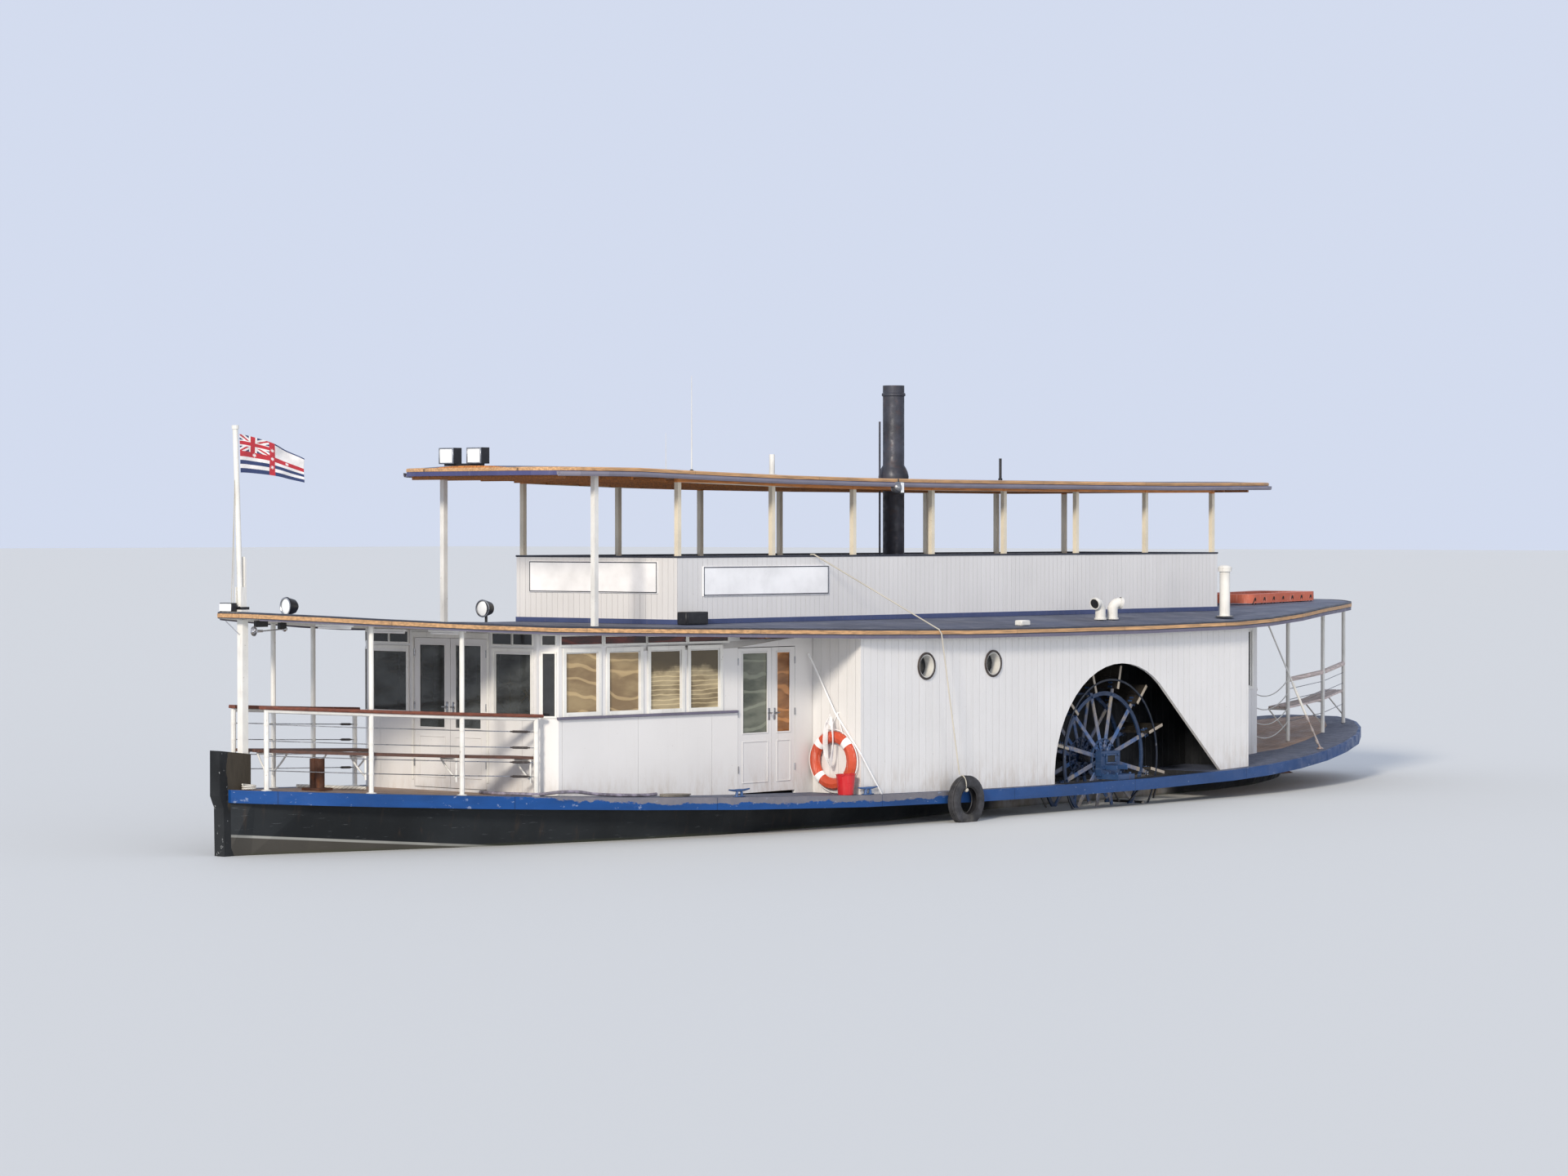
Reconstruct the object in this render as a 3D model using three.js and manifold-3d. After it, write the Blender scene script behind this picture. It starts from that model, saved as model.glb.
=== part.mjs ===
// Side-wheel paddle steamer afloat, millimetres.
// +Z up, Z = 0 at the waterline, bow towards -X, port side towards -Y, origin amidships.
import * as THREE from 'three';
import { mergeVertices } from 'three/addons/utils/BufferGeometryUtils.js';
import Module from 'manifold-3d';

const wasm = await Module();
wasm.setup();

// Driving dimensions
const gap = 0.3;
const stemX = -11380;
const stemAft = -10900;
const stemWidth = 170;
const stemTop = 1225;
const stemAftTop = 1170;
const stemFoot = -650;

const deckLow = 370;
const deckLowX = 2000;
const deckRiseBow = 410;
const deckRiseStern = 500;
const deckThick = 60;
const strakeThick = 50;
const strakeDepth = 150;

const roofLow = 2400;
const roofEdgeThick = 68;
const roofOverhang = 90;
const roofFront = -11150;
const roofFrontHalf = 210;
const roofSternCut = 230;
const roofSternCutX = 7050;
const upperDeckTop = 2588;
const upperDeckHalf = 1430;

const wallThick = 45;
const houseFront = -7550;
const houseFrontHalf = 1460;
const foreSideStart = -7380;
const foreSideStartHalf = 1660;
const foreSideHalf = 1950;
const foreSideKnee = -4460;
const houseSideHalf = 1690;
const houseAft = 7370;

const boxOuterHalf = 2750;
const boxFront = -3000;
const foreSideEnd = boxFront - gap;
const boxAft = 5640;

const wheelX = 2620;
const wheelZ = 645;
const floatOuterRadius = 1285;
const floatInnerRadius = 965;
const floatThick = 36;
const floatNear = 1900;
const floatFar = 2545;
const spokeCount = 12;
const spokePhase = 17.5;
const rimRadius = 890;
const hoopRadius = 1080;
const shaftRadius = 60;
const spokePlanes = [2030, 2415];

const bulwarkFront = -4950;
const bulwarkAft = 6828;
const bulwarkHalf = 1390;
const bulwarkTop = 3420;
const bulwarkThick = 20;

const canopyFront = -7200;
const canopyAft = 8150;
const canopyHalf = 1550;
const canopyThick = 90;
const canopyCrown = 30;
const canopyPostX = [-4880, -3075, -1445, 205, 1790, 3445, 5100, 6760];
const postSize = 62;
const postY = 1338;

const funnelX = 1050;
const funnelRadius = 150;
const funnelTop = 5750;
const steamPipeX = funnelX - 300;

const bowRailHeight = 962;
const aftRailHeight = 950;
const benchHeight = 478;

// Plan of the main deck: x, half breadth, rise of the lower roof over its lowest place
const deckPlan = [
  [-11250, 80, 345], [-10950, 300, 332], [-10300, 680, 292], [-9700, 960, 252], [-8630, 1400, 190],
  [-7650, 1730, 145], [-6450, 2110, 115], [-4950, 2530, 86], [-2950, 2800, 42], [-950, 2850, 10],
  [1000, 2850, 0], [3000, 2850, 0], [5050, 2850, 16], [6000, 2800, 45], [7050, 2650, 100],
  [8100, 2420, 160], [9050, 2130, 185], [9900, 1800, 200], [10550, 1420, 205], [11000, 1050, 208],
  [11280, 680, 210], [11400, 400, 210],
];

// Hull: x, half breadth at the deck, at the water, at the bilge, keel height
const hullPlan = [
  [-11250, 66, 62, 58, -640], [-10950, 230, 140, 110, -660], [-10300, 560, 380, 240, -700],
  [-9700, 850, 650, 470, -720], [-8630, 1280, 1090, 880, -740], [-7650, 1590, 1430, 1230, -750],
  [-6450, 1920, 1790, 1600, -750], [-4950, 2200, 2110, 1930, -750], [-2950, 2280, 2200, 2030, -750],
  [-1200, 2100, 2030, 1880, -750], [600, 1760, 1720, 1600, -750], [2700, 1710, 1680, 1560, -750],
  [5050, 1710, 1670, 1520, -750], [6600, 1680, 1560, 1330, -740], [7900, 1480, 1280, 960, -690],
  [9050, 1130, 830, 520, -600], [9800, 760, 470, 230, -480], [10250, 460, 200, 110, -330],
];

const paint = {
  black: [0x15171a, 0.55, 0.1],
  blue: [0x2b4fa0, 0.5, 0.1],
  cream: [0xe6e2d6, 0.55, 0.0],
  white: [0xf0efe8, 0.5, 0.0],
  deck: [0x4a5664, 0.8, 0.0],
  roof: [0x47505f, 0.8, 0.0],
  timber: [0x9a6a3c, 0.7, 0.0],
  railTimber: [0x7a3b22, 0.65, 0.0],
  steel: [0x3b3f45, 0.45, 0.7],
  rubber: [0x1b1b1d, 0.9, 0.0],
  orange: [0xe2401c, 0.5, 0.0],
  red: [0xb8202a, 0.45, 0.0],
  brass: [0xb08d45, 0.35, 0.9],
  cloth: [0xd9d4cf, 0.9, 0.0],
};

// Solids and meshes
function solidOf(geometry) {
  const bare = geometry.clone();
  for (const name of Object.keys(bare.attributes)) {
    if (name !== 'position') bare.deleteAttribute(name);
  }
  const merged = mergeVertices(bare, 1e-3);
  const vertProperties = new Float32Array(merged.attributes.position.array);
  const triVerts = new Uint32Array(merged.index.array);
  return new wasm.Manifold(new wasm.Mesh({ numProp: 3, vertProperties, triVerts }));
}

function geometryOf(solid) {
  const mesh = solid.getMesh();
  const geometry = new THREE.BufferGeometry();
  geometry.setAttribute('position', new THREE.BufferAttribute(new Float32Array(mesh.vertProperties), 3));
  geometry.setIndex(new THREE.BufferAttribute(new Uint32Array(mesh.triVerts), 1));
  geometry.computeVertexNormals();
  return geometry;
}

function join(...geometries) {
  return geometryOf(geometries.map(solidOf).reduce((whole, next) => whole.add(next)));
}

function cut(base, ...tools) {
  return geometryOf(tools.map(solidOf).reduce((whole, tool) => whole.subtract(tool), solidOf(base)));
}

function block(x0, x1, y0, y1, z0, z1) {
  const geometry = new THREE.BoxGeometry(x1 - x0, y1 - y0, z1 - z0);
  return geometry.translate((x0 + x1) / 2, (y0 + y1) / 2, (z0 + z1) / 2);
}

function mirrored(geometry) {
  const copy = geometry.clone().scale(1, -1, 1);
  const index = copy.index ? Array.from(copy.index.array) : [...Array(copy.attributes.position.count).keys()];
  for (let i = 0; i < index.length; i += 3) [index[i], index[i + 1]] = [index[i + 1], index[i]];
  copy.setIndex(index);
  return copy;
}

// A bar of round or many-sided section between two points
function bar(from, to, radius, sides = 10) {
  const start = new THREE.Vector3(...from);
  const end = new THREE.Vector3(...to);
  const along = end.clone().sub(start);
  const geometry = new THREE.CylinderGeometry(radius, radius, along.length(), sides);
  geometry.applyQuaternion(
    new THREE.Quaternion().setFromUnitVectors(new THREE.Vector3(0, 1, 0), along.normalize()),
  );
  return geometry.translate(...start.add(end).multiplyScalar(0.5).toArray());
}

// A plate whose outline is given in x and z, between two y values
function plate(points, y0, y1) {
  const shape = new THREE.Shape(points.map(([x, z]) => new THREE.Vector2(x, z)));
  const geometry = new THREE.ExtrudeGeometry(shape, { depth: y1 - y0, bevelEnabled: false });
  return geometry.rotateX(Math.PI / 2).translate(0, y1, 0);
}

// A skin through sections that all have the same number of points, closed at both ends
function loft(sections) {
  const count = sections[0].length;
  const positions = sections.flat(2);
  const index = [];
  for (let s = 0; s < sections.length - 1; s += 1) {
    for (let p = 0; p < count; p += 1) {
      const a = s * count + p;
      const b = s * count + ((p + 1) % count);
      index.push(a, b, a + count, b, b + count, a + count);
    }
  }
  const last = (sections.length - 1) * count;
  for (let p = 1; p < count - 1; p += 1) {
    index.push(0, p + 1, p, last, last + p, last + p + 1);
  }
  const geometry = new THREE.BufferGeometry();
  geometry.setAttribute('position', new THREE.Float32BufferAttribute(positions, 3));
  geometry.setIndex(index);
  return geometry;
}

// One row of a table, worked out between its rows
function rowAt(table, x) {
  let i = 0;
  while (i < table.length - 2 && table[i + 1][0] < x) i += 1;
  const t = (x - table[i][0]) / (table[i + 1][0] - table[i][0]);
  return table[i].map((value, column) => value * (1 - t) + table[i + 1][column] * t);
}

// Sheer lines: straight between the stations of the deck plan
const stations = deckPlan.map(([x]) => x);

function betweenStations(curve, x) {
  let i = 0;
  while (i < stations.length - 2 && stations[i + 1] < x) i += 1;
  const t = (x - stations[i]) / (stations[i + 1] - stations[i]);
  return curve(stations[i]) * (1 - t) + curve(stations[i + 1]) * t;
}

function deckCurve(x) {
  if (x < deckLowX) return deckLow + deckRiseBow * ((deckLowX - x) / 13400) ** 2;
  return deckLow + deckRiseStern * ((x - deckLowX) / 9400) ** 2.5;
}

const deckTop = (x) => betweenStations(deckCurve, x);
const roofUnder = (x) => roofLow + rowAt(deckPlan, x)[2];

function knotsBetween(x0, x1) {
  return [x0, ...stations.filter((x) => x > x0 + 1 && x < x1 - 1), x1];
}

// A fore-and-aft wall that stands on the deck and reaches the roof, or a given top height
function sideWall(x0, x1, y0, y1, top = (x) => roofUnder(x) - gap) {
  const knots = knotsBetween(x0, x1);
  const foot = knots.map((x) => [x, deckTop(x) + gap]);
  const head = knots.map((x) => [x, top(x)]).reverse();
  return plate([...foot, ...head], y0, y1);
}

// A thwartships wall
function crossWall(x0, x1, y0, y1) {
  const foot = Math.max(deckTop(x0), deckTop(x1)) + gap;
  const head = Math.min(roofUnder(x0), roofUnder(x1)) - gap;
  return block(x0, x1, y0, y1, foot, head);
}

// Leans a fore-and-aft wall outwards along its length
function taper(geometry, fromX, toX, slide) {
  const position = geometry.attributes.position;
  for (let i = 0; i < position.count; i += 1) {
    const t = Math.min(Math.max((position.getX(i) - fromX) / (toX - fromX), 0), 1);
    position.setY(i, position.getY(i) + slide * t);
  }
  return geometry;
}

// Hull, deck and guards
const hullDeckGap = deckThick + gap;

function hullShape() {
  const hullEnds = [hullPlan[0][0], hullPlan.at(-1)[0]];
  const inside = hullPlan.map(([x]) => x).filter((x) => x > hullEnds[0] && x < hullEnds[1]);
  const all = new Set([...knotsBetween(...hullEnds), ...inside]);
  const frames = [...all].sort((a, b) => a - b);
  const sections = frames.map((station) => {
    const [x, deck, water, bilge, keel] = rowAt(hullPlan, station);
    const top = deckTop(x) - hullDeckGap;
    const half = [[deck, top], [water, 0], [bilge, keel + 170], [bilge * 0.72, keel]];
    const port = half.map(([y, z]) => [x, -y, z]);
    const starboard = half.map(([y, z]) => [x, y, z]).reverse();
    return [...port, ...starboard];
  });
  return cut(loft(sections), stemRoom());
}

function stemRoom() {
  const side = stemWidth / 2 + gap;
  return block(stemX - 50, stemAft + gap, -side, side, stemFoot - 200, stemTop);
}

function deckSlab(extra, above, below) {
  const sections = deckPlan.map(([x, half]) => {
    const y = half + extra;
    const z = deckCurve(x);
    return [[x, -y, z + above], [x, -y, z - below], [x, y, z - below], [x, y, z + above]];
  });
  return loft(sections);
}

function wheelWell(side) {
  const y = [1790, 2640].map((v) => v * side).sort((a, b) => a - b);
  return block(1180, 4560, y[0], y[1], -200, 900);
}

function deckShape() {
  return cut(deckSlab(0, 0, deckThick), stemRoom(), wheelWell(-1), wheelWell(1));
}

function strakeShape() {
  const outer = deckSlab(strakeThick, 0, strakeDepth);
  const position = outer.attributes.position;
  for (let i = 0; i < position.count; i += 1) {
    if (position.getX(i) > 11390) position.setX(i, position.getX(i) + strakeThick);
  }
  return cut(outer, deckSlab(gap, 50, strakeDepth + 50), stemRoom());
}

function stemShape() {
  const outline = [
    [stemX, stemTop], [stemX, 700], [stemX + 60, 560], [stemX + 80, stemFoot],
    [stemAft, stemFoot], [stemAft, stemAftTop],
  ];
  return plate(outline, -stemWidth / 2, stemWidth / 2);
}

// House walls
const foreWindows = [[-7260, -6760], [-6570, -6080], [-5900, -5400], [-5240, -4760]];
const foreWindowZ = [1550, 2290];
const sideDoorX = [-4440, -3340];
const sideDoorHeight = 1850;
const frontDoorHalf = 620;
const frontDoorTop = 1875;
const aftDoor = [-400, 400];
const aftDoorTop = 1850;

// Door sills stand as high as the deck gets under the open leaf
const sillClear = 12;
const frontSill = deckTop(houseFront - frontDoorHalf) + 4;
const aftSill = deckTop(houseAft + aftDoor[1] - aftDoor[0]) + 4;
const frontWindow = [760, 1360];
const frontWindowZ = [1530, 2280];

function foreSideShape() {
  const y0 = foreSideStartHalf - wallThick;
  let wall = sideWall(foreSideStart, foreSideEnd, y0, foreSideStartHalf);
  const windows = foreWindows.map(([x0, x1]) => block(x0, x1, 1000, 2400, ...foreWindowZ));
  const door = block(sideDoorX[0], sideDoorX[1], 1000, 2400, 0, deckTop(-3900) + sideDoorHeight);
  wall = cut(wall, ...windows, door);
  return taper(wall, foreSideStart, foreSideKnee, foreSideHalf - foreSideStartHalf);
}

function frontWallShape() {
  const x1 = houseFront + wallThick;
  const wall = crossWall(houseFront, x1, -houseFrontHalf, houseFrontHalf);
  const doorTop = deckTop(houseFront) + frontDoorTop;
  const openings = [block(houseFront - 50, x1 + 50, -frontDoorHalf, frontDoorHalf, frontSill, doorTop)];
  for (const side of [-1, 1]) {
    const y = frontWindow.map((v) => v * side).sort((a, b) => a - b);
    openings.push(block(houseFront - 50, x1 + 50, y[0], y[1], ...frontWindowZ));
  }
  return cut(wall, ...openings);
}

// The narrow corner panel between the front and the side, with its window
function cornerPostShape() {
  const plan = [
    [houseFront + wallThick + gap, houseFrontHalf - 60],
    [houseFront + wallThick + gap, houseFrontHalf],
    [foreSideStart - gap, foreSideStartHalf],
    [foreSideStart - gap, foreSideStartHalf - 60],
  ];
  const foot = deckTop(houseFront) + gap;
  const head = roofUnder(foreSideStart) - 1;
  const shape = new THREE.Shape(plan.map(([x, y]) => new THREE.Vector2(x, y)));
  const geometry = new THREE.ExtrudeGeometry(shape, { depth: head - foot, bevelEnabled: false });
  return geometry.translate(0, 0, foot);
}

function bulkheadShape() {
  return crossWall(-3040 + wallThick + 60, -3040 + wallThick * 2 + 60, -houseSideHalf - 200, houseSideHalf + 200);
}

function engineSideShape() {
  const wall = sideWall(-2800, houseAft, houseSideHalf - wallThick, houseSideHalf);
  const shaftHole = bar([wheelX, 1000, wheelZ], [wheelX, 2400, wheelZ], shaftRadius + 15, 24);
  const window = block(6900, 7270, 1000, 2400, 1475, 2300);
  return cut(wall, shaftHole, window);
}

function aftWallShape() {
  const wall = crossWall(houseAft + gap, houseAft + wallThick, -houseSideHalf, houseSideHalf);
  const doorTop = deckTop(houseAft) + aftDoorTop;
  const door = block(houseAft - 50, houseAft + 100, aftDoor[0], aftDoor[1], aftSill, doorTop);
  const windows = [-1, 1].map((side) => {
    const y = [700, 1350].map((v) => v * side).sort((a, b) => a - b);
    return block(houseAft - 50, houseAft + 100, y[0], y[1], 1500, 2250);
  });
  return cut(wall, door, ...windows);
}

// Paddle boxes
const portholes = [[-1680, 2020], [-280, 2020]];
const portholeRadius = 150;

function archOpening() {
  const centreX = 2580;
  const centreZ = 444;
  const radius = 1510;
  const points = [];
  for (let degrees = 184; degrees >= 38; degrees -= 7.3) {
    const angle = THREE.MathUtils.degToRad(degrees);
    points.push([centreX + radius * Math.cos(angle), centreZ + radius * Math.sin(angle)]);
  }
  points.push([5060, 300], [5060, 100], [1070, 100]);
  return plate(points, boxOuterHalf - 300, boxOuterHalf + 300);
}

function paddleBoxShape() {
  const y1 = boxOuterHalf;
  const outer = sideWall(boxFront, boxAft, y1 - wallThick, y1);
  const fore = crossWall(boxFront, boxFront + wallThick, foreSideHalf + 2, y1 - 5);
  const aft = crossWall(boxAft - wallThick, boxAft, houseSideHalf + 2, y1 - 5);
  const holes = portholes.map(([x, z]) => bar([x, 2500, z], [x, 3000, z], portholeRadius, 24));
  return cut(join(outer, fore, aft), archOpening(), ...holes);
}

// Lower roof, upper deck and canopy
// Rows: x, half breadth, underside, top of the edge, half breadth of the flat part, its height
const roofRows = deckPlan.map(([x, half, rise], i) => {
  const narrowing = roofSternCut * Math.max((x - roofSternCutX) / 3780, 0);
  const y = i === 0 ? roofFrontHalf : half + roofOverhang - narrowing;
  const under = roofLow + rise;
  const edge = under + roofEdgeThick;
  const crown = Math.max(upperDeckTop, edge + 10);
  return [i === 0 ? roofFront : x, y, under, edge, Math.min(upperDeckHalf, y * 0.6), crown];
});

function roofAt(x, y) {
  const [, half, , edge, inner, crown] = rowAt(roofRows, x);
  const t = Math.min(Math.max((Math.abs(y) - inner) / (half - inner), 0), 1);
  return crown + (edge - crown) * t;
}

function lowerRoofShape() {
  const sections = roofRows.map(([x, y, under, edge, inner, crown]) => [
    [x, -y, edge], [x, -y, under], [x, y, under], [x, y, edge], [x, inner, crown], [x, -inner, crown],
  ]);
  const funnelHole = bar([funnelX, 0, 2000], [funnelX, 0, 3000], funnelRadius + 3, 24);
  return cut(loft(sections), funnelHole);
}

function bulwarkShape() {
  const foot = upperDeckTop + gap;
  const outer = block(bulwarkFront, bulwarkAft, -bulwarkHalf, bulwarkHalf, foot, bulwarkTop);
  const side = bulwarkHalf - bulwarkThick;
  const inner = block(bulwarkFront + bulwarkThick, bulwarkAft - bulwarkThick, -side, side, foot - 50, bulwarkTop + 50);
  return cut(outer, inner);
}

// Underside of the canopy, which sags amidships: x, height
const canopySheer = [
  [canopyFront, 4440], [-5800, 4436], [-4400, 4400], [-3000, 4370], [-1500, 4352], [500, 4342], [5500, 4345],
  [canopyAft, 4370],
];
const canopyUnder = (x) => rowAt(canopySheer, x)[1];
const canopyBeamDepth = 48;

// Canopy sections: x, half breadth
const canopyPlan = [
  [canopyFront, 700], [-7160, 1000], [-7050, 1250], [-6830, 1430], [-6430, 1530], [-5800, canopyHalf],
  [-4400, canopyHalf], [-3000, canopyHalf], [-1500, canopyHalf], [500, canopyHalf], [5500, canopyHalf],
  [7000, canopyHalf], [7850, 1500], [canopyAft, 1380],
];

function canopyShape() {
  const sections = canopyPlan.map(([x, y]) => {
    const under = canopyUnder(x);
    const edge = under + canopyThick;
    return [
      [x, -y, edge], [x, -y, under], [x, y, under], [x, y, edge],
      [x, y * 0.5, edge + canopyCrown * 0.8], [x, 0, edge + canopyCrown], [x, -y * 0.5, edge + canopyCrown * 0.8],
    ];
  });
  const funnelHole = bar([funnelX, 0, 4000], [funnelX, 0, 5000], funnelRadius + 3, 24);
  const pipeHole = bar([steamPipeX, 0, 4000], [steamPipeX, 0, 5000], 33, 10);
  return cut(loft(sections), funnelHole, pipeHole);
}

// Posts of one side of the upper deck, joined by the beam that they carry
function canopyFrameShape() {
  const half = postSize / 2;
  const pieces = [];
  for (const x of canopyPostX) {
    const top = Math.min(canopyUnder(x + half), canopyUnder(x - half)) - gap - 1;
    pieces.push(block(x - half, x + half, postY - half, postY + half, upperDeckTop + gap, top));
  }
  const x0 = canopyPostX[0] - half;
  const x1 = canopyPostX.at(-1) + half;
  const knots = [x0, ...canopySheer.map(([x]) => x).filter((x) => x > x0 && x < x1), x1];
  const foot = knots.map((x) => [x, canopyUnder(x) - canopyBeamDepth]);
  const head = knots.map((x) => [x, canopyUnder(x) - gap - 1]).reverse();
  const beam = plate([...foot, ...head], postY - half + 5, postY + half - 5);
  return join(beam, ...pieces);
}

function canopyPropShape() {
  const x = -6360;
  const y = 1300;
  const half = 34;
  const foot = upperDeckTop + 5;
  return block(x - half, x + half, y - half, y + half, foot, canopyUnder(x + half) - gap);
}

// Rails and benches
const bowPosts = [[-10836, 282, false], [-9695, 840, true], [-8634, 1278, true], [-7665, 1560, false]];
const aftPosts = [[8900, 1240, true], [9890, 1210, true], [10830, 970, true]];
const railPostRadius = 30;
const railRadius = 30;

function railShape(posts, height) {
  const pieces = [];
  const points = [];
  for (const [x, y, tall] of posts) {
    const foot = Math.max(deckTop(x - railPostRadius), deckTop(x + railPostRadius)) + gap;
    const under = Math.min(roofUnder(x - railPostRadius), roofUnder(x + railPostRadius)) - gap;
    const head = tall ? under : deckTop(x) + height;
    pieces.push(bar([x, y, foot], [x, y, head], railPostRadius, 8));
    points.push([x, y, deckTop(x) + height - railRadius]);
  }
  for (let i = 0; i < points.length - 1; i += 1) {
    pieces.push(bar(points[i], points[i + 1], railRadius, 8));
  }
  return join(...pieces);
}

// A seat along the inside of a rail, carried by a strut from the foot of each post
function benchShape(posts, width) {
  const clear = railPostRadius + 4;
  const thick = 38;
  const sections = posts.map(([x, y]) => {
    const top = deckTop(x) + benchHeight;
    const inner = Math.max(y - clear - width, 40);
    return [[x, inner, top], [x, inner, top - thick], [x, y - clear, top - thick], [x, y - clear, top]];
  });
  const struts = posts.map(([x, y], i) => {
    const along = x + (i === 0 ? 30 : -30);
    const inner = Math.max(y - clear - width * 0.75, 80);
    const foot = [along, y - clear - 16, deckTop(x) + 130];
    return bar(foot, [along, inner, deckTop(x) + benchHeight - thick / 2], 14, 6);
  });
  return join(loft(sections), ...struts);
}

// Machinery
function funnelShape() {
  const profile = [
    [0, 1760], [funnelRadius, 1760], [funnelRadius, 4640], [235, 4650], [225, 4700], [165, 4780],
    [funnelRadius, 4820], [funnelRadius, 5600], [165, 5610], [165, 5640], [funnelRadius, 5650],
    [funnelRadius, funnelTop], [funnelRadius - 15, funnelTop], [funnelRadius - 15, 5000], [0, 5000],
  ];
  const geometry = new THREE.LatheGeometry(profile.map(([r, z]) => new THREE.Vector2(r, z)), 20);
  return geometry.rotateX(Math.PI / 2).translate(funnelX, 0, 0);
}

function steamPipeShape() {
  return bar([steamPipeX, 0, upperDeckTop + 1], [steamPipeX, 0, 5250], 30, 10);
}

function ringShape(radius, thick, y0, y1, steps) {
  const outer = bar([wheelX, y0, wheelZ], [wheelX, y1, wheelZ], radius + thick / 2, steps);
  const inner = bar([wheelX, y0 - 20, wheelZ], [wheelX, y1 + 20, wheelZ], radius - thick / 2, steps);
  return spun(cut(outer, inner), spokePhase);
}

function spun(geometry, degrees) {
  const turned = geometry.translate(-wheelX, 0, -wheelZ);
  return turned.rotateY(THREE.MathUtils.degToRad(-degrees)).translate(wheelX, 0, wheelZ);
}

function paddleWheelShape() {
  const pieces = [];
  for (const y of spokePlanes) {
    pieces.push(ringShape(rimRadius, 56, y - 12, y + 12, spokeCount));
    pieces.push(bar([wheelX, y - 20, wheelZ], [wheelX, y + 20, wheelZ], 275, 24));
  }
  pieces.push(ringShape(hoopRadius, 40, floatFar - 12, floatFar + 8, spokeCount));
  pieces.push(bar([wheelX, floatNear, wheelZ], [wheelX, spokePlanes[1], wheelZ], 110, 24));
  for (let i = 0; i < spokeCount; i += 1) {
    const degrees = spokePhase + (i * 360) / spokeCount;
    for (const y of spokePlanes) {
      const spoke = block(wheelX + 80, wheelX + 1080, y - 10, y + 10, wheelZ - 28, wheelZ + 28);
      pieces.push(spun(spoke, degrees));
    }
    const z = wheelZ + 20;
    const board = block(wheelX + floatInnerRadius, wheelX + floatOuterRadius, floatNear, floatFar, z, z + floatThick);
    pieces.push(spun(board, degrees));
  }
  const bore = bar([wheelX, 1700, wheelZ], [wheelX, 2700, wheelZ], shaftRadius + gap, 24);
  return cut(join(...pieces), bore);
}

function shaftShape() {
  return bar([wheelX, -2530, wheelZ], [wheelX, 2530, wheelZ], shaftRadius, 24);
}

function bearingShape() {
  const foot = Math.max(deckTop(wheelX - 230), deckTop(wheelX + 230)) + 1;
  const bracket = block(wheelX - 190, wheelX + 190, 2445, 2810, foot, foot + 70);
  const box = block(wheelX - 215, wheelX + 215, 2445, 2540, foot + 40, wheelZ + 105);
  const bore = bar([wheelX, 2400, wheelZ], [wheelX, 2900, wheelZ], shaftRadius + 6, 24);
  return cut(join(bracket, box), bore);
}

// Rudder: blade under the stern overhang, hung from its stock
const rudderX = 10420;

function rudderShape() {
  const blade = plate([[rudderX - 30, -560], [rudderX + 620, -520], [rudderX + 620, -40], [rudderX - 30, 120]], -25, 25);
  const stock = bar([rudderX, 0, -600], [rudderX, 0, deckTop(rudderX) - deckThick - 10], 38, 16);
  return join(blade, stock);
}

// Doors: a leaf with one tall window
function doorLeaf(width, height, windowFoot, windowHead, rail) {
  const leaf = block(0, width, -20, 20, 0, height);
  return cut(leaf, block(rail, width - rail, -60, 60, windowFoot, windowHead));
}

// Loose gear on deck and roof
const tyreRadius = 245;
const tyreHalfWidth = 80;
const ringRadius = 300;

// A round tube bent into a ring, given by its middle line and its half sizes across
function ringTube(middle, across, along, sides, steps) {
  const profile = [];
  for (let i = 0; i <= sides; i += 1) {
    const a = (i / sides) * Math.PI * 2;
    profile.push(new THREE.Vector2(middle + across * Math.cos(a), along * Math.sin(a)));
  }
  return new THREE.LatheGeometry(profile, steps);
}

function bucketShape() {
  const height = 255;
  const [foot, lip, inner] = [97, 122, 92];
  const profile = [[0, 0], [foot, 0], [lip, height], [lip - 6, height], [inner, 8], [0, 8]];
  const geometry = new THREE.LatheGeometry(profile.map(([r, z]) => new THREE.Vector2(r, z)), 20);
  return geometry.rotateX(Math.PI / 2);
}

// A bent pipe: upright, then over in an arc, with its open end facing down and away
function ventShape(turn) {
  const radius = 72;
  const bend = 95;
  const rise = 130;
  const points = [new THREE.Vector3(0, 0, 0)];
  for (let degrees = 0; degrees <= 105; degrees += 15) {
    const angle = THREE.MathUtils.degToRad(degrees);
    points.push(new THREE.Vector3(bend * (Math.cos(angle) - 1), 0, rise + bend * Math.sin(angle)));
  }
  const section = new THREE.Shape().absarc(0, 0, radius, 0, Math.PI * 2);
  const extrudePath = new THREE.CatmullRomCurve3(points);
  const settings = { extrudePath, steps: 10, curveSegments: 9, bevelEnabled: false };
  const pipe = new THREE.ExtrudeGeometry(section, settings);
  const foot = bar([0, 0, 0], [0, 0, 24], radius + 14, 18);
  return join(pipe, foot).rotateZ(turn);
}

function ventPipeShape() {
  const foot = new THREE.CylinderGeometry(110, 110, 20, 24).rotateX(Math.PI / 2).translate(0, 0, 10);
  return join(foot, bar([0, 0, 5], [0, 0, 650], 74, 20), bar([0, 0, 645], [0, 0, 710], 98, 20));
}

function roundedPlan(length, width, radius) {
  const shape = new THREE.Shape();
  const x = length / 2 - radius;
  const y = width / 2 - radius;
  shape.absarc(x, y, radius, 0, Math.PI / 2);
  shape.absarc(-x, y, radius, Math.PI / 2, Math.PI);
  shape.absarc(-x, -y, radius, Math.PI, Math.PI * 1.5);
  shape.absarc(x, -y, radius, Math.PI * 1.5, Math.PI * 2);
  return shape;
}

function lifeFloatShape() {
  const outer = roundedPlan(1840, 1100, 160);
  outer.holes.push(roundedPlan(1480, 740, 60));
  return new THREE.ExtrudeGeometry(outer, { depth: 135, bevelEnabled: false, curveSegments: 5 });
}

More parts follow.
